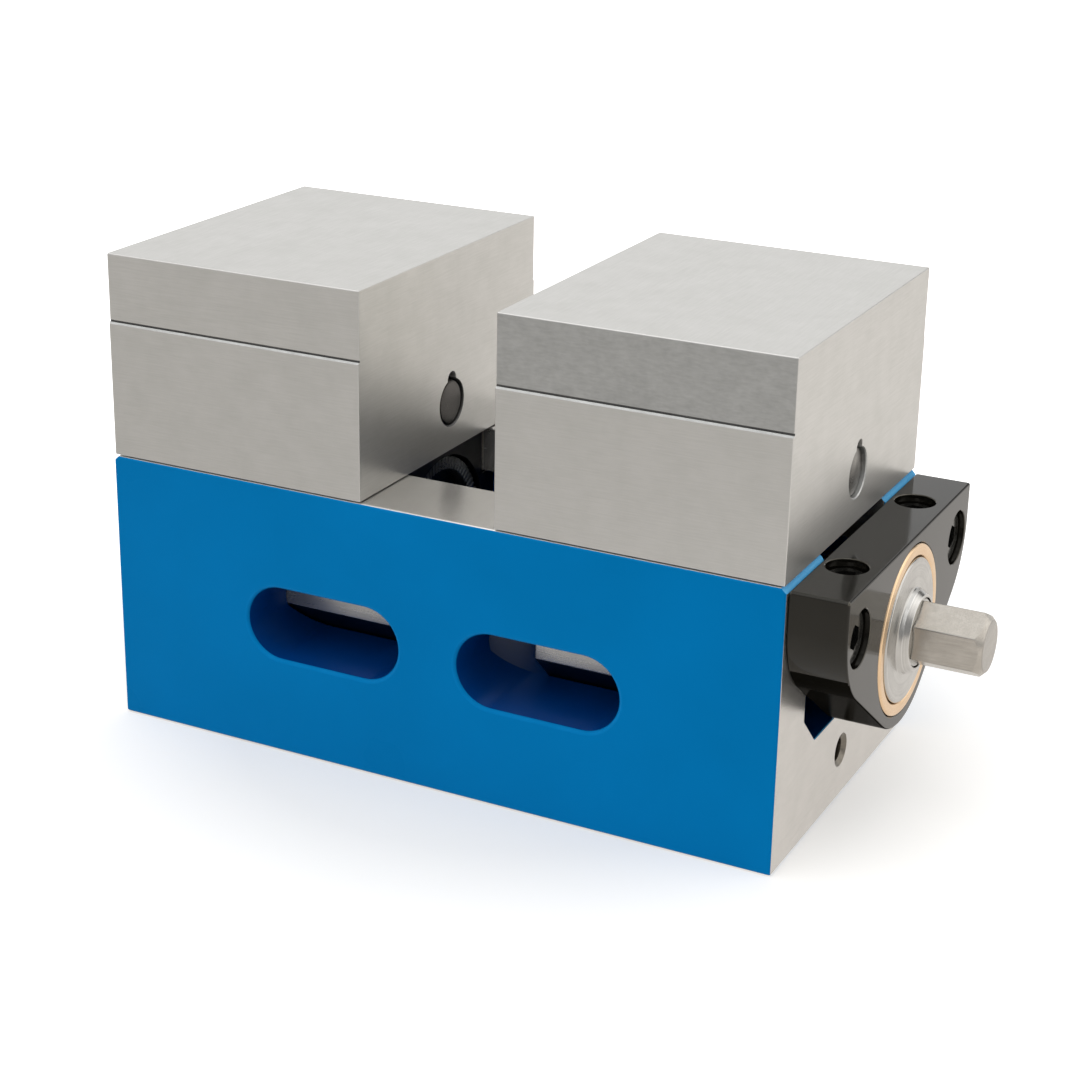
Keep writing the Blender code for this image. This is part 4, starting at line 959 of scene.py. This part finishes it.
rib_tree = make_rib_tree()
for name, place in CARRIAGES.items():
    axis = place @ AXIS
    nut = drawn(f"{name}_nut_block", nut_outline, 0.0026, 0.054, 0.0006, place @ ALONG_X)
    wedge = [
        (BED - 0.007, wedge_x(0)), (BED - 0.007, 0.044), (BED + 0.024, 0.044), (BED + 0.024, wedge_x(0.024)),
        (BED, wedge_x(0)),
    ]
    carve(nut, [drawn("add_wedge", wedge, -0.019, 0.019, 0, place @ ALONG_Y)], "UNION")
    groove = [
        (0, 0.0006, 0), (0.0241, 0.0006, 0), (0.0241, 0.012, 0.0004), (0.0193, 0.012, 0.0002), (0.0193, 0.0075, 0.0004),
        (0, 0.0075, 0),
    ]
    bore = [(0, 0, 0), (0.0123, 0, 0), (0.0123, 0.056, 0), (0, 0.056, 0)]
    carve(nut, [turned("cut_groove", groove, 128, axis), turned("cut_bore", bore, 64, axis)])
    paint(nut, nut_steel, nut_shade_black)
    for polygon in nut.data.polygons:
        centre, normal = polygon.center, polygon.normal
        inside = math.hypot(centre.y, centre.z - SCREW_HEIGHT) < 0.0242 and centre.z < 0.0795
        # Its ends below the bed and the faces that look down take the painted shade.
        shaded_face = (abs(normal.x) > 0.9 or normal.z < -0.3) and centre.z < BED
        polygon.material_index = int(inside or shaded_face)
    settle(nut, f"{name}_jaw", f"jaw_nut_{name}", "ground_steel")
    profile = [(0.0196, 0.0041, 0.0003), (0.0234, 0.0041, 0.0005), (0.0234, 0.0117, 0.0003), (0.0196, 0.0117, 0.0003)]
    ring = turned(f"{name}_nut_ring", profile, 128, axis, ring=True)
    ribs = grow(f"{name}_ring_ribs", rib_tree, {"Finish": ring_black}, axis @ Matrix.Translation((0, 0, 0.00405)))
    paint(ring, ring_black)
    join(ring, ribs)
    settle(ring, f"{name}_jaw", f"nut_ring_{name}", "black_oxide")


# Table and light
# A white table under a soft lamp overhead, a warmer one on the right and the main one in front. The table and the
# world show white to the camera, and a little less than white to the metal. None of it belongs to the vise.
def make_table_white():
    material, tree, shader, place = add_material("white_table", 0.9, 0.0)
    shader.inputs["Specular IOR Level"].default_value = 0.0
    path = add_node(tree, "ShaderNodeLightPath").outputs
    mirrored_ray = path["Is Glossy Ray"]
    surface = blend_colours(tree, mirrored_ray, (0.84, 0.832, 0.815), (0.31, 0.296, 0.28))
    tree.links.new(surface, shader.inputs["Base Color"])
    # In the metal the table glows warm, brighter at the far right than at the near left and behind the left jaw:
    # painted light in what the metal mirrors.
    parts = add_node(tree, "ShaderNodeSeparateXYZ", {0: place}).outputs
    slant = {0: parts["X"], 1: 0.8, 2: parts["Y"]}
    diagonal = add_node(tree, "ShaderNodeMath", slant, operation="MULTIPLY_ADD").outputs[0]
    near_glow = spread_values(tree, diagonal, 0.23, 0.64, -0.3, 0.05)
    left = spread_values(tree, parts["X"], 0.7, 0, -0.04, 0.06)
    behind = arithmetic(tree, "MULTIPLY", left, spread_values(tree, parts["Y"], 0, 1, 0.08, 0.2))
    mirrored_glow = arithmetic(tree, "MULTIPLY", mirrored_ray, arithmetic(tree, "ADD", near_glow, behind))
    # To the camera it glows brighter away from the vise, so the far table is plain white, and the dimmer glow near
    # the vise is painted shade that deepens its shadow.
    distance = add_node(tree, "ShaderNodeVectorMath", {0: place}, operation="LENGTH").outputs["Value"]
    seen_glow = spread_values(tree, distance, 0.26, 1.0, 0.08, 0.31)
    strength = add_node(tree, "ShaderNodeMix", {0: path["Is Camera Ray"], 2: mirrored_glow, 3: seen_glow})
    warmth = blend_colours(tree, mirrored_ray, (1, 1, 1), (1.0, 0.962, 0.922))
    glow = add_node(tree, "ShaderNodeEmission", {"Color": warmth, "Strength": strength.outputs[0]})
    total = add_node(tree, "ShaderNodeAddShader", {0: shader.outputs[0], 1: glow.outputs[0]})
    tree.links.new(total.outputs[0], tree.nodes["Material Output"].inputs["Surface"])
    return material


TABLE_HALF = 7
TABLE_DROP = 0.0002
bm = bmesh.new()
bmesh.ops.create_grid(bm, x_segments=8, y_segments=8, size=TABLE_HALF)
table_top = add_piece("table_top", bm, Matrix.Translation((0, 0, -TABLE_DROP)))
if table_top.data.polygons[0].normal.z < 0:
    table_top.data.flip_normals()
paint(table_top, make_table_white())

# A dark card stands well behind the vise on the right, above the picture. It darkens what the right jaw's end and the
# plate mirror, and the camera looks through it.
card_outline = [(0.2, 0.28), (0.5, 0.28), (0.5, 0.7), (0.2, 0.7)]
facing_back = Matrix(((1, 0, 0), (0, 0, 1), (0, 1, 0))).to_4x4()
card = drawn("dark_card", card_outline, 1.0, 1.01, 0, facing_back)
card_black, tree, shader, place = add_material("dark_card", 0.8, 0.0)
shader.inputs["Base Color"].default_value = (0.02, 0.02, 0.02, 1)
path = add_node(tree, "ShaderNodeLightPath").outputs
clear = add_node(tree, "ShaderNodeBsdfTransparent").outputs[0]
either = add_node(tree, "ShaderNodeMixShader", {0: path["Is Camera Ray"], 1: shader.outputs[0], 2: clear})
tree.links.new(either.outputs[0], tree.nodes["Material Output"].inputs["Surface"])
paint(card, card_black)

world = bpy.data.worlds.new("studio")
world.use_nodes = True
scene.world = world
tree = world.node_tree
path = add_node(tree, "ShaderNodeLightPath").outputs
heading = add_node(tree, "ShaderNodeSeparateXYZ", {0: add_node(tree, "ShaderNodeTexCoord").outputs["Generated"]})
# The metal sees the front of the world darker, as the room behind a camera is.
mirrored_world = spread_values(tree, heading.outputs["Y"], 0.35, 0.88, -0.35, 0.1)
unseen_level = add_node(tree, "ShaderNodeMix", {0: path["Is Glossy Ray"], 2: 0.45, 3: mirrored_world})
level = add_node(tree, "ShaderNodeMix", {0: path["Is Camera Ray"], 2: unseen_level.outputs[0], 3: 1.0})
tree.nodes["Background"].inputs["Color"].default_value = (1, 1, 1, 1)
tree.links.new(level.outputs[0], tree.nodes["Background"].inputs["Strength"])


def add_lamp(name, spot, aim, width, depth, power, colour=(1, 1, 1)):
    light = bpy.data.lights.new(name, "AREA")
    light.shape = "RECTANGLE"
    light.size, light.size_y = width, depth
    light.energy = power
    light.color = colour
    lamp = bpy.data.objects.new(name, light)
    lamp.location = spot
    lamp.rotation_euler = (Vector(aim) - Vector(spot)).to_track_quat("-Z", "Y").to_euler()
    scene.collection.objects.link(lamp)


add_lamp("lamp_over", (0.1, 0.4, 1.6), (0, 0, 0.05), 2.2, 2.2, 6)
add_lamp("lamp_right", (1.5, 0.7, 0.9), (0, 0, 0.06), 2.4, 2.1, 7, (1.0, 0.95, 0.89))
add_lamp("lamp_front", (-0.4, -1.1, 1.45), (0, 0, 0.06), 2.9, 2.5, 19.6)


# Camera
# It stands a little above the vise, off its drive end, as in the photograph.
lens = bpy.data.cameras.new("camera")
lens.sensor_width = 36
lens.lens = 74.87
lens.shift_x = 0.027
lens.shift_y = -0.045
camera = bpy.data.objects.new("camera", lens)
forward = Vector((-0.4313, 0.8352, -0.3411)).normalized()
side = Vector((0.8863, 0.4629, 0.0128))
side = (side - forward * side.dot(forward)).normalized()
upward = side.cross(forward)
turn = Matrix((side, upward, -forward)).transposed().to_4x4()
camera.matrix_world = Matrix.Translation((0.2748, -0.5341, 0.2891)) @ turn
scene.collection.objects.link(camera)
scene.camera = camera
scene.view_settings.view_transform = "Standard"
